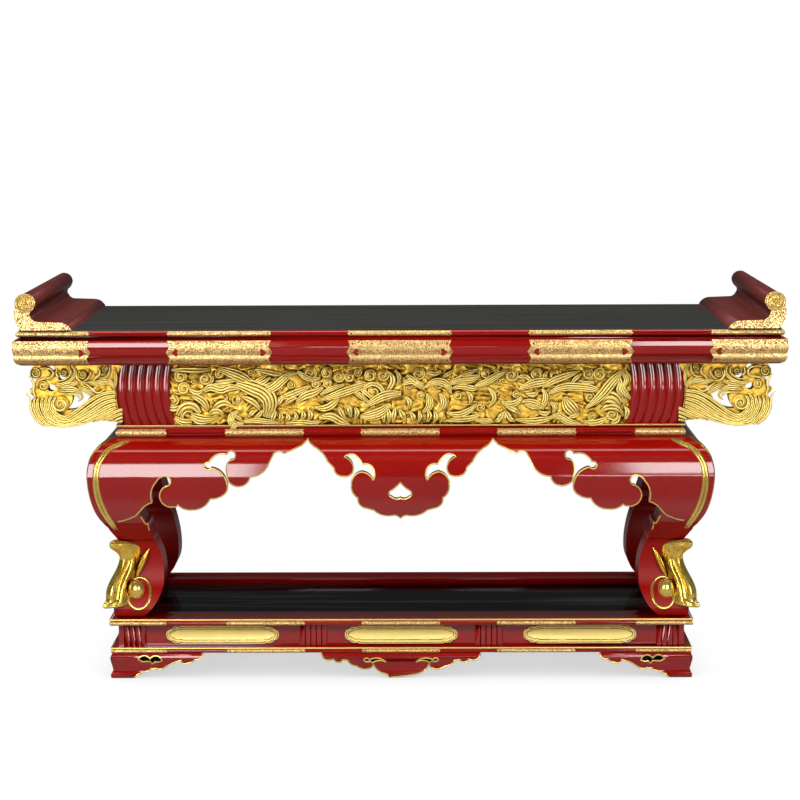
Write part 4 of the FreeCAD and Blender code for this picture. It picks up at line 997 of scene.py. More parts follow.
FRIEZE_BANDS = (
    (1, 3, ((-443, 527.5, 2.5), (-435, 541, 4.5), (-420.5, 548, 5), (-406.5, 543, 4.5),
            (-397.5, 531.5, 2.5))),
    (1, 2, ((-434, 519.5, 2), (-432, 531.5, 3), (-421.5, 538, 3), (-412.5, 531.5, 1.5))),
    (3, 1, ((-415.5, 527.5, 4), (-400.5, 519.5, 7), (-380.5, 518.5, 5), (-362, 522.5, 2))),
    (2, 0, ((-448.5, 522.5, 3), (-433, 513.5, 5), (-415, 513, 4))),
    (3, 4, ((-359.5, 621, 3.5), (-336.5, 613, 6), (-312.5, 603, 7), (-292, 589.5, 2.5))),
    (1, 5, ((-364, 595, 1), (-340.5, 596, 3), (-315.5, 598.5, 1))),
    (1, 5, ((-369, 590, 1), (-345, 589, 2.5), (-320.5, 584.5, 1.5))),
    (2, 3, ((-389.5, 575.5, 2.5), (-375.5, 583.5, 5), (-356, 577.5, 5), (-337, 583.5, 5),
            (-320.5, 581.5, 2))),
    (3, 5, ((-321.5, 535.5, 2), (-335.5, 523.5, 4.5), (-333, 511, 5), (-311.5, 511, 1.5))),
    (2, 7, ((-325.5, 510, 3), (-332, 503, 3), (-338, 497.5, 1))),
    (1, 4, ((-327.5, 525.5, 1.5), (-319.5, 521, 2.5), (-313.5, 514, 1))),
    (1, 4, ((-294.5, 584.5, 1), (-282, 596.5, 3), (-263.5, 607, 1))),
    (1, 5, ((-290.5, 580.5, 1), (-274, 591.5, 3), (-256.5, 602.5, 1))),
    (1, 4, ((-284.5, 576.5, 1), (-266, 585.5, 3), (-248.5, 593.5, 1))),
    (3, 5, ((-294.5, 578, 1.5), (-272, 574, 4.5), (-247.5, 584.5, 5.5), (-231.5, 598.5, 5.5),
            (-217, 609, 3.5), (-203, 611, 1))),
    (2, 3, ((-177, 586, 1.5), (-197, 576, 4), (-217.5, 568, 4.5), (-246, 557.5, 1.5))),
    (1, 4, ((-226.5, 599.5, 1), (-235.5, 588.5, 3), (-238.5, 574, 1.5))),
    (1, 4, ((-239.5, 594.5, 1), (-245.5, 582.5, 2.5), (-250, 572, 1))),
    (4, 2, ((-324.5, 592.5, 6), (-292.5, 582.5, 10.5), (-266, 568, 11), (-258.5, 547.5, 9.5),
            (-266.5, 523, 5))),
    (1, 4, ((-301, 523, 1), (-295, 531.5, 3), (-284, 537.5, 1))),
    (1, 4, ((-289, 521, 1), (-281, 527, 3), (-272.5, 537.5, 1))),
    (1, 3, ((-254.5, 514, 1), (-252.5, 523, 3.5), (-246.5, 535.5, 1))),
    (1, 4, ((-242.5, 514, 1), (-236.5, 522, 3.5), (-238, 533, 1))),
    (1, 4, ((-228.5, 515, 1), (-222, 522, 3.5), (-226, 531, 1))),
    (1, 4, ((-214, 516, 1), (-206, 523, 3), (-210, 533, 1))),
    (1, 4, ((-198, 516.5, 1), (-191.5, 527, 3.5), (-195.5, 537, 1))),
    (1, 4, ((-183.5, 515.5, 1), (-177.5, 527, 3.5), (-183.5, 539, 1))),
    (2, 2, ((-313.5, 513, 2), (-289, 516, 3.5), (-263, 514, 3.5), (-236.5, 510.5, 1.5))),
    (2, 2, ((-228.5, 510.5, 1.5), (-200, 512.5, 4), (-171.5, 510.5, 3.5), (-155.5, 515.5, 1.5))),
    (2, 3, ((-205.5, 553.5, 2), (-189, 566, 5), (-171, 572, 5), (-152.5, 582, 1.5))),
    (1, 3, ((-372, 537.5, 1.5), (-361.5, 548, 4), (-345.5, 552, 4), (-333.5, 543.5, 1.5))),
    (1, 4, ((-380, 527.5, 1.5), (-370, 535.5, 4), (-357, 533.5, 3), (-352, 523.5, 1))),
    (1, 3, ((-313, 564, 1.5), (-298.5, 558, 4), (-284.5, 547.5, 3), (-278.5, 535.5, 1))),
    (2, 3, ((-414, 566.5, 2), (-398, 560.5, 5), (-386, 548, 4), (-382, 535.5, 1.5))),
    (1, 4, ((-421, 583, 1), (-410, 574.5, 3), (-400, 572.5, 3), (-391.5, 578.5, 1))),
    (1, 4, ((-371, 605, 1), (-374, 595, 2.5), (-381.5, 588, 1))),
    (1, 3, ((-453.5, 617.5, 1.5), (-433.5, 618.5, 3), (-405, 617.5, 4), (-377, 618.5, 2))),
    (1, 3, ((-463, 544, 1.5), (-449, 540, 4), (-436.5, 546, 1.5))),
    (1, 3, ((-288, 618, 1.5), (-263.5, 614, 3.5), (-239.5, 609, 3), (-227, 611, 1))),
    (2, 4, ((-203, 615, 1.5), (-193, 606.5, 3.5), (-175, 598.5, 3.5), (-158.5, 600.5, 1.5))),
    (1, 4, ((-228, 547.5, 1), (-219.5, 557.5, 3.5), (-205.5, 562, 1.5))),
    (1, 4, ((-246, 547.5, 1), (-238, 555.5, 3), (-231.5, 566, 1))),
    (1, 3, ((-343, 564, 1), (-347.5, 554, 3), (-343.5, 544, 1))),
    (1, 3, ((-325, 568, 1), (-321, 558, 3), (-325, 546, 1))),
    (1, 5, ((-74, 565.5, 1.5), (-68.5, 582.5, 2.5), (-52, 589.5, 3), (-35.5, 578, 3),
            (-32.5, 563, 1.5))),
    (3, 5, ((-70, 544.5, 2), (-46, 559, 5.5), (-23, 568, 6), (2, 569.5, 3))),
    (4, 3, ((-79.5, 523.5, 2.5), (-56.5, 525.5, 7), (-35.5, 533.5, 7), (-19, 548.5, 2.5))),
    (3, 4, ((-156.5, 557.5, 1.5), (-127, 567.5, 5), (-89.5, 580.5, 5.5), (-58, 591.5, 1.5))),
    (2, 5, ((-158.5, 568, 1), (-137.5, 579.5, 3.5), (-110.5, 587.5, 1.5))),
    (2, 4, ((-100, 582.5, 1.5), (-81.5, 567.5, 3.5), (-60.5, 551.5, 1.5))),
    (1, 4, ((-85.5, 585.5, 1), (-71, 574, 3), (-55, 559, 1.5))),
    (2, 6, ((-161, 521.5, 2), (-138, 525, 5), (-119.5, 515, 5), (-100.5, 508, 1))),
    (1, 4, ((-122, 543.5, 1), (-117, 532, 3.5), (-109, 519, 1.5))),
    (1, 4, ((-106.5, 548.5, 1), (-100.5, 538, 3.5), (-98.5, 523.5, 1.5))),
    (1, 4, ((-90, 542.5, 1), (-85.5, 532, 3.5), (-90, 519, 1))),
    (2, 5, ((13, 607.5, 2), (27.5, 594.5, 4.5), (42, 581, 2))),
    (2, 5, ((4.5, 586.5, 1.5), (19, 594.5, 4), (35.5, 590.5, 3.5), (48, 578, 1.5))),
    (3, 5, ((48, 582, 1.5), (71, 593.5, 5), (95, 585, 4.5), (100, 569, 1.5))),
    (2, 5, ((117, 604, 1.5), (135.5, 611, 3.5), (154.5, 618, 1))),
    (3, 4, ((92, 587, 1.5), (117, 596.5, 5), (140, 598.5, 5.5), (158, 605, 2))),
    (1, 4, ((84.5, 602, 1), (94, 608, 3), (106.5, 616.5, 1))),
    (2, 3, ((102.5, 579.5, 1.5), (123, 584, 4), (144, 579.5, 4), (156.5, 584, 1.5))),
    (1, 4, ((-23, 511.5, 1), (-22, 527.5, 3.5), (-25, 542, 1))),
    (1, 4, ((-15, 511.5, 1), (-12.5, 527.5, 3.5), (-10.5, 542, 1))),
    (1, 4, ((-31.5, 512.5, 1), (-33.5, 523, 3), (-31.5, 533.5, 1))),
    (1, 4, ((25, 512.5, 1), (26, 523, 3.5), (19, 533.5, 1))),
    (1, 4, ((35.5, 512.5, 1), (39.5, 523, 3), (36.5, 535.5, 1))),
    (1, 4, ((54, 512.5, 1), (58.5, 525, 3.5), (54.5, 537.5, 1))),
    (1, 4, ((67, 511.5, 1), (71, 523, 3.5), (67, 535.5, 1))),
    (1, 4, ((10.5, 514.5, 1), (4, 527.5, 4), (-2, 538, 1))),
    (2, 2, ((89.5, 514.5, 1.5), (117, 517.5, 4), (144, 520.5, 4), (158, 527, 1.5))),
    (2, 3, ((92, 531.5, 1.5), (112.5, 527, 4), (133.5, 533.5, 4), (152.5, 548, 1.5))),
    (3, 3, ((52.5, 569.5, 1.5), (58.5, 556.5, 4.5), (56.5, 542, 4.5), (44, 531.5, 1.5))),
    (2, 4, ((77.5, 569.5, 1.5), (85.5, 558.5, 4), (83.5, 542, 3.5), (71, 531.5, 1))),
    (1, 4, ((131.5, 573.5, 1), (140, 563, 3.5), (138, 548, 1))),
    (2, 3, ((-169, 542.5, 1.5), (-150.5, 540.5, 4.5), (-133.5, 549, 4.5), (-121, 563.5, 1.5))),
    (1, 3, ((-24.5, 613.5, 1.5), (-14.5, 601, 3.5), (-18.5, 584.5, 3.5), (-29, 571.5, 1.5))),
    (1, 4, ((-10, 616, 1), (-2, 605, 3), (-4, 590.5, 1))),
    (1, 4, ((52.5, 613.5, 1.5), (67, 609, 3.5), (81.5, 613.5, 1.5))),
    (1, 3, ((10.5, 563, 1.5), (19, 552.5, 3.5), (16.5, 540, 1.5))),
    (1, 3, ((-68.5, 590.5, 1), (-81, 593, 2.5), (-91.5, 586.5, 1))),
    (3, 6, ((148, 583.5, 2), (171, 593, 4.5), (191, 605.5, 4.5), (212.5, 615.5, 1.5))),
    (1, 5, ((181.5, 620, 1), (191, 614, 2.5), (201.5, 608.5, 1))),
    (1, 4, ((231.5, 600.5, 1), (245, 604.5, 3), (258.5, 595, 2.5), (265, 587.5, 1))),
    (1, 4, ((231.5, 591, 1), (245, 583.5, 3), (258.5, 588.5, 2))),
    (3, 5, ((235.5, 577, 1.5), (260.5, 588.5, 5.5), (283.5, 593, 5.5), (298, 597, 1.5))),
    (2, 6, ((281.5, 581.5, 1.5), (303.5, 595, 4.5), (327.5, 604.5, 4.5), (354.5, 613.5, 1))),
    (1, 5, ((338, 588.5, 1), (348, 600, 3), (358.5, 608.5, 1))),
    (2, 4, ((353.5, 595, 1.5), (369, 588.5, 3.5), (383.5, 591.5, 1.5))),
    (3, 5, ((294, 568.5, 1.5), (319, 581, 5), (352.5, 582, 5.5), (381.5, 578, 4.5),
            (400.5, 571.5, 1.5))),
    (3, 6, ((367.5, 539, 1.5), (396.5, 564, 6), (423, 596.5, 6), (437.5, 612.5, 2))),
    (2, 5, ((435.5, 613.5, 1.5), (448, 595.5, 3.5), (440, 581, 3.5), (448.5, 566, 3.5),
            (456.5, 557.5, 1))),
    (1, 4, ((427, 610.5, 1), (435.5, 591.5, 3), (431.5, 576.5, 3), (440, 562, 1))),
    (1, 3, ((446, 614.5, 1), (454, 599.5, 2.5), (452.5, 585, 1))),
    (4, 4, ((325.5, 562, 2.5), (332, 547.5, 8.5), (342.5, 535, 8.5), (348.5, 526.5, 3))),
    (2, 4, ((281.5, 579, 1.5), (288, 564.5, 3.5), (284, 547.5, 3.5), (273.5, 537, 1))),
    (2, 4, ((241, 553, 1.5), (259, 553, 4), (275.5, 546.5, 3.5), (284, 537, 1))),
    (1, 4, ((246.5, 547.5, 1), (261, 542.5, 3), (273.5, 539, 1))),
    (1, 5, ((206.5, 514, 1), (205.5, 524.5, 3.5), (209, 535, 1))),
    (1, 4, ((196.5, 514, 1), (198.5, 522.5, 3.5), (207.5, 533, 1))),
    (1, 4, ((188, 513, 1), (194, 516, 3), (204.5, 526.5, 1))),
    (1, 4, ((217, 514, 1), (215, 523.5, 3.5), (210, 533, 1))),
    (1, 4, ((226.5, 513, 1), (220.5, 517, 3), (212, 526.5, 1))),
    (2, 2, ((227.5, 517, 1.5), (252.5, 514, 4), (282, 516, 4.5), (307, 522, 1.5))),
    (2, 2, ((148, 517.5, 1.5), (161, 514, 3.5), (177.5, 514, 3.5), (188, 511, 1))),
    (3, 6, ((294.5, 520, 1.5), (313, 524.5, 4.5), (332, 513.5, 5), (359, 507.5, 1))),
    (1, 6, ((334, 522, 1), (344.5, 524, 3), (355, 528.5, 1))),
    (2, 3, ((357, 513.5, 1.5), (376, 509.5, 4), (399, 513.5, 4), (411, 522, 1.5))),
    (1, 4, ((396.5, 532.5, 1), (409, 541, 4), (427.5, 541, 4), (440.5, 530.5, 1.5))),
    (1, 4, ((417.5, 509.5, 1), (428, 513.5, 3.5), (436, 524, 1))),
    (3, 1, ((398.5, 547.5, 2.5), (413, 558, 10.5), (427.5, 551.5, 9), (434, 541, 2.5))),
    (2, 4, ((200.5, 552, 1.5), (215, 548, 4), (231.5, 552, 4), (240, 562.5, 1.5))),
    (1, 4, ((173, 581.5, 1), (183.5, 571, 3), (186, 556.5, 3), (175.5, 543.5, 1))),
    (1, 4, ((248.5, 569, 1), (263, 566.5, 3.5), (273.5, 571, 1))),
    (1, 4, ((208.5, 543.5, 1), (225.5, 537, 3.5), (238, 528.5, 1))),
    (2, 3, ((298.5, 552, 1.5), (307, 541, 3.5), (302.5, 528.5, 1.5))),
    (1, 3, ((273.5, 533, 1), (286, 528.5, 3.5), (298.5, 533, 1))),
    (1, 3, ((444.5, 543, 1), (450.5, 532.5, 3.5), (446.5, 517.5, 1.5))),
    (1, 3, ((292, 613, 1.5), (285.5, 604.5, 3), (290, 594, 1))))


class ALTAR_OT_frieze(bpy.types.Operator):
    """Clouds, waves and flames of the frieze, carved in high relief on their ground"""

    bl_idname = "altar.frieze"
    bl_label = "Carve the frieze"

    # Y of the ground, and how far in front of it the carving stands, in mm
    ground, stand = -182.0, 2
    thick = 10 * MM
    # The motifs are cut larger than their lines, so that they overlap as in a deep carving
    grow_head, grow_band = 1.18, 1.55

    def execute(self, context):
        finish = context.scene.altar_table.finish
        low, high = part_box("frieze_carving")
        panel = bmesh.new()
        bmesh.ops.create_grid(panel, x_segments=500, y_segments=66, size=0.5)
        for vert in panel.verts:
            x = vert.co.x * (high.x - low.x)
            z = (low.z + high.z) / 2 + vert.co.y * (high.z - low.z)
            vert.co = Vector((x, (self.ground - curls(x / MM, z / MM)) * MM, z))
        bmesh.ops.solidify(panel, geom=panel.faces, thickness=-self.thick)
        heads = [(x, z, size * self.grow_head, hand) for x, z, size, hand in FRIEZE_HEADS]
        bands = [(ridges + 1, lift, [(x, z, wide * self.grow_band) for x, z, wide in points])
                 for ridges, lift, points in FRIEZE_BANDS]
        whole = join([carving(heads, bands, self.ground - self.stand), panel])
        # Painted shade, darkest at the ground of the frieze and lightest at its front
        coat = gold_leaf(finish, "gold_leaf_frieze", 181.5 * MM, 189.5 * MM)
        finish_piece("frieze_relief", whole, coat, ["frieze_carving"], sharp=82)
        return {"FINISHED"}


# The wing on one side, written as the frieze is
WING_HEADS = (
    (721.5, 613.5, 12, 1), (707, 588, 11, 1), (666, 614, 9, -1), (628.5, 610, 11, -1),
    (585, 621, 9, 1), (673.5, 551, 18.5, -1), (603, 570, 4.5, 1))
WING_BANDS = (
    (1, 3, ((564.5, 575.5, 3), (587.5, 572, 3.5), (608, 562.5, 3.5), (627, 549.5, 3.5),
            (641.5, 538, 3.5), (655, 529, 3.5), (666, 525, 3.5), (676.5, 528.5, 3),
            (685, 536.5, 3), (689.5, 547.5, 3), (689, 557, 2.5), (683.5, 565, 2))),
    (1, 3, ((564.5, 567.5, 3), (588, 562.5, 4), (610, 549.5, 4), (628.5, 536.5, 4),
            (644.5, 526, 4), (659.5, 519, 3.5), (672.5, 519.5, 3.5), (684.5, 527.5, 3.5),
            (693, 537.5, 3.5), (696.5, 548, 3.5), (695.5, 559, 3), (689, 569, 1.5))),
    (1, 3, ((564.5, 560, 3), (585.5, 553.5, 4), (605.5, 541.5, 4), (623, 530, 4),
            (640.5, 520.5, 4), (658, 514, 3.5), (675.5, 514.5, 3.5), (689.5, 522.5, 3.5),
            (699, 534, 3.5), (703.5, 546, 3.5), (703.5, 557, 3), (698, 567.5, 1))),
    (1, 3, ((564, 552, 3), (583, 544.5, 4), (602, 534, 4), (620, 523.5, 4), (638, 516, 4),
            (657, 510.5, 3.5), (677, 511, 3.5), (694, 518.5, 3.5), (704.5, 530, 3.5),
            (709.5, 542, 3.5), (711.5, 553.5, 3), (708, 565, 1))),
    (1, 3, ((563.5, 544.5, 3), (580.5, 536.5, 4), (598, 527.5, 4), (615.5, 519.5, 4),
            (633, 513.5, 3.5), (681, 508.5, 3.5), (698, 513.5, 3.5), (710, 524.5, 3.5),
            (717, 537, 3.5), (719.5, 549, 3.5), (719, 558.5, 2.5), (716, 566.5, 1))),
    (1, 3, ((551, 540.5, 2.5), (562, 536.5, 3), (578, 529.5, 4), (594, 522, 3.5),
            (610, 516.5, 2.5))),
    (1, 3, ((697, 508, 3), (709, 514, 3.5), (718, 524.5, 3.5), (724, 537, 3.5), (727, 549, 3.5),
            (725.5, 559.5, 2), (722, 569, 1))),
    (1, 3, ((551, 532.5, 2.5), (560.5, 529, 3), (572.5, 524.5, 3.5), (585, 519, 2.5))),
    (1, 3, ((551, 525, 2.5), (558.5, 522, 2.5), (566, 519, 2))),
    (1, 3, ((551, 517.5, 2), (557, 516, 2), (562, 514.5, 1.5))),
    (1, 3, ((706.5, 507, 1.5), (719.5, 517.5, 2.5), (729, 531.5, 2.5), (733, 545, 2.5),
            (732.5, 555.5, 2), (735.5, 566.5, 1.5), (743, 573.5, 0.5))),
    (1, 4, ((712.5, 623, 2), (696.5, 623.5, 2.5), (686.5, 616.5, 3), (689, 606.5, 3),
            (702.5, 603, 2), (714.5, 600, 1.5))),
    (1, 3, ((733, 609, 2), (728, 598.5, 2.5), (725, 589, 2.5), (727, 578.5, 2.5),
            (723.5, 567.5, 2))),
    (1, 4, ((647.5, 627, 2), (642, 615, 3), (648, 603, 3), (665.5, 593, 3), (681.5, 590.5, 2.5),
            (693.5, 593, 1))),
    (1, 4, ((655.5, 626.5, 1.5), (650.5, 615.5, 2), (656, 606.5, 2), (668, 599.5, 1.5),
            (679, 598.5, 1))),
    (1, 3, ((678, 622.5, 1.5), (681, 613, 2.5), (676, 605, 2))),
    (2, 3, ((677.5, 586.5, 2), (660.5, 588.5, 5.5), (643, 593, 4), (633.5, 598, 1.5))),
    (2, 3, ((679.5, 577, 1.5), (662, 581, 5.5), (644.5, 579.5, 5.5), (633, 573, 3.5),
            (630, 563.5, 2.5), (638.5, 556.5, 1))),
    (1, 4, ((666, 571.5, 1), (650, 572, 2.5), (639.5, 569, 2.5), (634.5, 562, 1))),
    (3, 3, ((639, 587.5, 1.5), (626, 582, 6.5), (614, 574, 5.5), (605, 568.5, 1.5))),
    (1, 5, ((622, 591.5, 1), (610, 582, 2), (599.5, 574, 2), (583.5, 582, 1))),
    (3, 3, ((620.5, 595.5, 1.5), (600.5, 593, 5.5), (582, 595.5, 6), (567.5, 584.5, 2))),
    (2, 4, ((577.5, 603.5, 1.5), (570, 592.5, 3.5), (565.5, 579.5, 1))),
    (1, 4, ((598, 626, 1.5), (593.5, 613, 2.5), (603, 603.5, 2.5), (607, 595.5, 1.5))),
    (1, 4, ((574, 627, 1.5), (575, 615.5, 2.5), (581.5, 605, 2), (596.5, 603.5, 1))),
    (1, 3, ((566.5, 623.5, 2), (563, 611.5, 3), (563, 598, 3), (564, 584.5, 1.5))),
    (1, 4, ((617, 622, 1), (612, 614, 2.5), (617.5, 603.5, 2), (625.5, 597, 1))),
    (1, 4, ((640, 618.5, 1), (640, 606.5, 2.5), (633.5, 597, 2), (620.5, 594, 1))))


class ALTAR_OT_wings(bpy.types.Operator):
    """Ridges and cloud heads cut into the face of the two side wings"""

    bl_idname = "altar.wings"
    bl_label = "Carve the wings"

    def execute(self, context):
        finish = context.scene.altar_table.finish
        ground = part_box("wings")[0].y / MM
        # A band that is wide where it starts has a strand more
        bands = [(ridges + (points[1][2] >= 3), lift, points)
                 for ridges, lift, points in WING_BANDS]
        whole = mirrored(carving(WING_HEADS, bands, ground))
        # Painted shade, darkest 4 mm behind the face of the board and lightest 6 mm in front of it
        coat = gold_leaf(finish, "gold_leaf_wings", -(ground + 4) * MM, -(ground - 6) * MM)
        finish_piece("wing_relief", whole, coat, sharp=82)
        # The board of each wing takes the same gold with painted shade
        frame["nodes"]["wings"].data.materials[0] = coat
        return {"FINISHED"}


# Leaf on the corner of a foot, from the top lip down, in mm: across and up of its corner, across
# and up of its inner edge, and depth of the ribs
LEAF_ROWS = (
    (556, 271, 545, 271, 0), (562, 277.5, 541, 272.5, 0), (570, 280, 538, 272.5, 0),
    (578, 277.5, 535, 271.5, 0), (582, 271.5, 532, 269.5, 0), (579.5, 265, 529, 267, 0),
    (572.4, 259.3, 525, 263.5, 0.4), (566, 252, 521.5, 257, 1.2), (562.4, 243, 520, 247, 2.2),
    (562.6, 233, 520, 236, 3), (565.6, 222, 521.5, 225, 3.4), (571, 211, 525, 213, 3.6),
    (577.5, 200, 529, 202, 3.8), (583, 189, 532.5, 191, 4), (586.6, 178, 535, 180, 4),
    (588, 168, 536.5, 169, 4), (587.4, 160, 538, 160, 3.6), (589.5, 154.5, 540, 154, 1.5),
    (596, 151.5, 543, 150.5, 0.2), (595, 147, 545, 148, 0), (588, 144.5, 548, 147, 0),
    (578, 144.5, 552, 148, 0))


# The small leaf beside it, from the root to the tip, in mm: place and radius
LEAF_TIP = ((-533, -181, 196, 2), (-524, -182, 216, 6), (-514, -183, 238, 5.5),
            (-508, -184, 250, 3), (-504.5, -184, 257, 0.6))


class ALTAR_OT_leaf_feet(bpy.types.Operator):
    """A gilt leaf folded round the corner of each foot, with ribs and turned lips"""

    bl_idname = "altar.leaf_feet"
    bl_label = "Carve the leaf feet"

    # Shares of a face from the corner: a rib and its groove, and where the ribs end
    rib_pitch, rib_end = 0.41, 0.72
    # How far the edge stands off the foot, and the thickness of the leaf, in mm
    stand, thick = 1.5, 3

    def execute(self, context):
        finish = context.scene.altar_table.finish
        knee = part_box("front_legs")[0]
        # How much deeper a leg lies in plan than it is wide
        shift = (knee.y - knee.x) / MM
        hit = ray_onto("front_legs")
        rows = len(LEAF_ROWS) - 1
        mesh = bmesh.new()
        # The right half of the grid is the leaf's front, and the left half is its side
        bmesh.ops.create_grid(mesh, x_segments=36, y_segments=rows, size=1)
        for vert in mesh.verts:
            corner, top, edge, low, rib = LEAF_ROWS[round((1 - vert.co.y) / 2 * rows)]
            share = abs(vert.co.x)
            across = corner - (corner - edge) * share
            up = top + (low - top) * share
            foot = hit(-edge * MM, up * MM).y / MM + self.stand
            bulge = (1 - share ** 2.6) * (1 - 0.12 * share)
            # Two ribs a side and a groove on the corner, then a plain fold to the edge
            ribbed = share < self.rib_end
            fold = -math.cos(share * math.tau / self.rib_pitch) if ribbed else -1
            depth = foot + (shift - corner - foot) * bulge - rib * fold * (1 - share ** 4)
            place = Vector((-across, depth, up)) * MM
            vert.co = round_corner(place, knee) if vert.co.x < 0 else place
        bmesh.ops.solidify(mesh, geom=mesh.faces, thickness=self.thick * MM)
        bmesh.ops.recalc_face_normals(mesh, faces=mesh.faces)
        tip = [(Vector(place) * MM, radius * MM) for *place, radius in LEAF_TIP]
        turned = [(round_corner(place, knee), radius) for place, radius in tip]
        whole = mirrored(join([mesh, tubes([tip, turned], sides=3)]), "XY")
        # Gold with painted shade: lighter where the leaf stands further out, darker in its folds
        coat = gold_leaf(finish, "gold_leaf_feet", 0, 0.28, rough=0.22, cut=0.1, metal=0.85)
        piece = finish_piece("leaf_feet", whole, coat, ["leaf_ornaments"])
        smooth = piece.modifiers.new("Smooth", "SUBSURF")
        smooth.levels = smooth.render_levels = 1
        return {"FINISHED"}


class ALTAR_OT_foot_balls(bpy.types.Operator):
    """A gilt ball in a gilt ring, on both faces of each foot"""

    bl_idname = "altar.foot_balls"
    bl_label = "Set the balls in the feet"

    # In mm: middle of the ring, across and up, its half width and half height, and its radius
    ring_across, ring_up, ring_wide, ring_high, ring_radius = 525, 167, 23, 29, 3.2
    # Middle of the ball, across and up, how far it stands out, and its half sizes
    ball_across, ball_up, ball_out, ball_size = 530.5, 175, 8, (17, 14, 20.5)

    def execute(self, context):
        finish = context.scene.altar_table.finish
        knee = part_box("front_legs")[0]
        hit = ray_onto("front_legs")
        ring = []
        for step in range(17):
            angle = math.tau * step / 16
            across = self.ring_across - self.ring_wide * math.cos(angle)
            up = self.ring_up + self.ring_high * math.sin(angle)
            ring.append((hit(-across * MM, up * MM, 1 * MM), self.ring_radius * MM))
        place = hit(-self.ball_across * MM, self.ball_up * MM, self.ball_out * MM)
        size = Matrix.LocRotScale(place, None, Vector(self.ball_size) * MM)
        ball = bmesh.new()
        bmesh.ops.create_uvsphere(ball, u_segments=20, v_segments=14, radius=1, matrix=size)
        whole = join([tubes([ring], sides=3), ball])
        copied = bmesh.ops.duplicate(whole, geom=whole.verts[:] + whole.edges[:] + whole.faces[:])
        for part in copied["geom"]:
            if isinstance(part, bmesh.types.BMVert):
                part.co = round_corner(part.co, knee)
        mirrored(whole, "XY")
        coat = gilt_line(finish, "gilt_ball_burnished", 0.16, 0.8, 70)
        finish_piece("foot_balls", whole, coat, ["foot_bosses"])
        return {"FINISHED"}


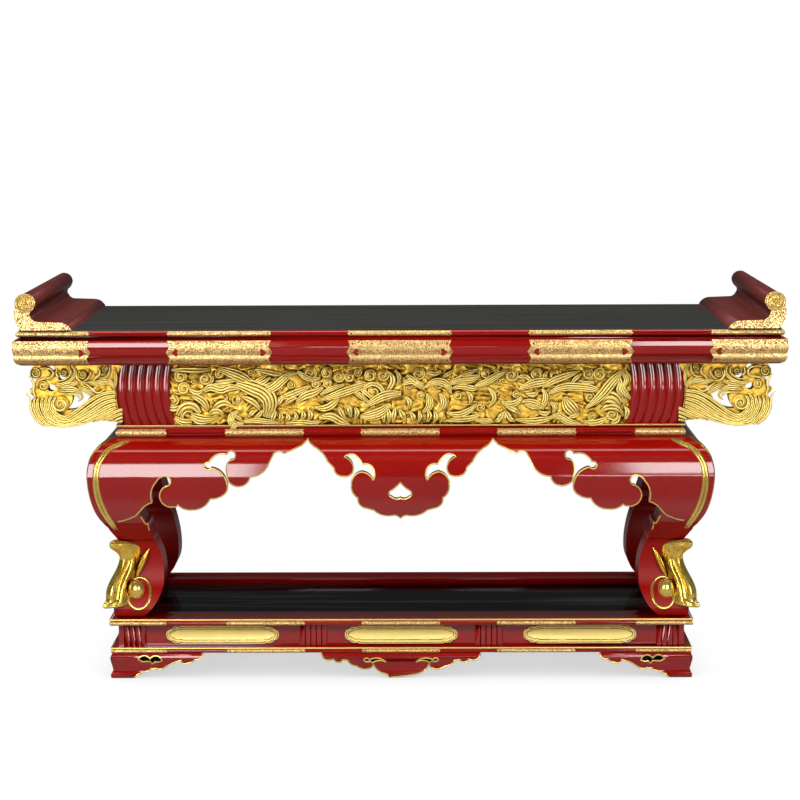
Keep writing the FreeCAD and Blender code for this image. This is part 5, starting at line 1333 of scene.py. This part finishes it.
class ALTAR_OT_stage(bpy.types.Operator):
    """Pale floor, soft boxes, room light and the camera"""

    bl_idname = "altar.stage"
    bl_label = "Set the stage"

    # Camera: place in metres, turn to the side, down and round its own axis in degrees, focal
    # length in millimetres
    place = (0.0432, -4.7082, 1.1919)
    turn, down, roll = 0.553, 7.999, -0.237
    focal = 103.595
    # Panels in front of the table: across, up, width and height, in metres
    panels = {"left_panel": (-0.95, 0.72, 1.0, 1.0), "right_panel": (1.05, 0.85, 0.8, 0.8),
              "low_right_panel": (0.95, 0.26, 1.0, 0.1)}

    def lamp(self, name, power, size, place, target):
        """An area lamp turned to its target."""
        data = bpy.data.lights.new(name, "AREA")
        data.shape = "RECTANGLE"
        data.size, data.size_y = size
        data.energy = power
        lamp = bpy.data.objects.new(name, data)
        lamp.location = place
        lamp.rotation_euler = (Vector(target) - Vector(place)).to_track_quat("-Z", "Y").to_euler()
        lamp.visible_camera = False
        bpy.context.scene.collection.objects.link(lamp)
        return lamp

    def set_camera(self, scene):
        data = bpy.data.cameras.new("camera")
        data.lens = self.focal
        data.sensor_width = 36
        camera = bpy.data.objects.new("camera", data)
        camera.location = self.place
        spin = (Matrix.Rotation(math.radians(self.turn), 3, "Z")
                @ Matrix.Rotation(math.radians(90 - self.down), 3, "X")
                @ Matrix.Rotation(math.radians(self.roll), 3, "Z"))
        camera.rotation_euler = spin.to_euler()
        scene.collection.objects.link(camera)
        scene.camera = camera

    def set_lamps(self, stage):
        middle = (0, 0, 0.45)
        self.lamp("overhead_soft_box", stage.key, (4.0, 1.4), (0, -0.15, 2.9), middle)
        # Light that fills the front without a mirror image in the lacquer
        front = self.lamp("front_fill", stage.fill, (3.0, 0.9), (-0.3, -2.7, 2.3), middle)
        front.visible_glossy = False
        # The lacquer mirrors the bright panels as long clean bands
        for name, (x, z, wide, tall) in self.panels.items():
            panel = self.lamp(name, stage.panel * wide * tall, (wide, tall), (x, -2.45, z),
                              (x, 0, z))
            panel.visible_diffuse = False

    def set_room(self, scene, stage):
        world = bpy.data.worlds.new("room")
        world.use_nodes = True
        scene.world = world
        tree = world.node_tree
        tree.nodes.clear()
        ray = add_node(tree, "LightPath")
        # White towards the camera and through glass; the lacquer mirrors a dimmer room
        look = add_node(tree, "TexCoord").outputs["Generated"]
        behind = add_node(tree, "MapRange", {"interpolation_type": "SMOOTHSTEP"},
                          {0: add_node(tree, "SeparateXYZ", inputs={0: look}).outputs["Y"],
                           1: -0.2, 2: 0.5, 3: stage.mirror, 4: 1.2 * stage.mirror})
        room = add_node(tree, "Mix", {"data_type": "FLOAT"},
                        {0: ray.outputs["Is Glossy Ray"], 2: stage.room, 3: behind.outputs[0]})
        white = add_node(tree, "Math", {"operation": "MAXIMUM"},
                         {0: ray.outputs["Is Camera Ray"], 1: ray.outputs["Is Transmission Ray"]})
        level = add_node(tree, "Math", {"operation": "MAXIMUM"},
                         {0: room.outputs[0], 1: white.outputs[0]})
        light = add_node(tree, "Background", inputs={"Color": (1, 1, 1, 1),
                                                     "Strength": level.outputs[0]})
        out = add_node(tree, "OutputWorld", inputs={"Surface": light.outputs[0]})
        out.is_active_output = True

    def set_floor(self, scene, stage):
        mesh = bmesh.new()
        bmesh.ops.create_grid(mesh, x_segments=8, y_segments=8, size=6)
        data = bpy.data.meshes.new("floor")
        mesh.to_mesh(data)
        mesh.free()
        floor = bpy.data.objects.new("floor", data)
        scene.collection.objects.link(floor)
        # Matt studio floor: its own white towards the camera, with the shadow kept on top
        made = bpy.data.materials.new("studio_floor_matt")
        made.use_nodes = True
        tree = made.node_tree
        tree.nodes.clear()
        ray = add_node(tree, "LightPath")
        place = add_node(tree, "SeparateXYZ",
                         inputs={0: add_node(tree, "TexCoord").outputs["Object"]})
        # Pale close to the table, where the base boards mirror it, and greyer further out
        shade = add_node(tree, "MapRange", {"interpolation_type": "SMOOTHSTEP"},
                         {0: place.outputs["Y"], 1: -0.55, 2: -0.95, 3: 0.4, 4: 0.2})
        matt = add_node(tree, "BsdfDiffuse", inputs={"Color": shade.outputs[0]})
        # The camera sees the floor white, and darker where the table stands close over it
        under = add_node(tree, "AmbientOcclusion", {"samples": 16}, {"Distance": 0.25})
        shadow = add_node(tree, "MapRange", inputs={0: under.outputs["AO"], 1: 0.0, 2: 0.75,
                                                    3: 0.6, 4: 1.0})
        glow = add_node(tree, "Emission", inputs={"Color": opaque(stage.floor),
                                                  "Strength": shadow.outputs[0]})
        pick = add_node(tree, "MixShader", inputs={"Fac": ray.outputs["Is Camera Ray"],
                                                   1: matt.outputs[0], 2: glow.outputs[0]})
        add_node(tree, "OutputMaterial", inputs={"Surface": pick.outputs[0]})
        data.materials.append(made)

    def execute(self, context):
        scene = context.scene
        stage = scene.altar_table.stage
        scene.view_settings.view_transform = "Standard"
        self.set_camera(scene)
        self.set_lamps(stage)
        self.set_room(scene, stage)
        self.set_floor(scene, stage)
        return {"FINISHED"}


class ALTAR_PT_table(bpy.types.Panel):
    """Everything that makes the table, in the order of the work"""

    bl_label = "Altar table"
    bl_idname = "ALTAR_PT_table"
    bl_space_type = "VIEW_3D"
    bl_region_type = "UI"
    bl_category = "Altar table"

    def draw(self, context):
        for step in STEPS:
            self.layout.operator(step.bl_idname)
        settings = context.scene.altar_table
        for group in (settings.finish, settings.trim, settings.stage):
            for name in group.bl_rna.properties.keys():
                if name not in ("rna_type", "name"):
                    self.layout.prop(group, name)


STEPS = (ALTAR_OT_woodwork, ALTAR_OT_waist_posts, ALTAR_OT_frieze, ALTAR_OT_wings,
         ALTAR_OT_leaf_feet, ALTAR_OT_foot_balls, ALTAR_OT_leg_beads, ALTAR_OT_gilt_lines,
         ALTAR_OT_foot_cutout_shade_plates, ALTAR_OT_eyelets, ALTAR_OT_cap_trim, ALTAR_OT_lobed_panels,
         ALTAR_OT_stage)
CLASSES = (FinishSettings, TrimSettings, StageSettings, AltarTableSettings, *STEPS, ALTAR_PT_table)


def register():
    for cls in CLASSES:
        bpy.utils.register_class(cls)
    bpy.types.Scene.altar_table = PointerProperty(type=AltarTableSettings)


def unregister():
    del bpy.types.Scene.altar_table
    for cls in reversed(CLASSES):
        bpy.utils.unregister_class(cls)


def main():
    register()
    for step in STEPS:
        family, name = step.bl_idname.split(".")
        getattr(getattr(bpy.ops, family), name)()


if __name__ == "__main__":
    main()
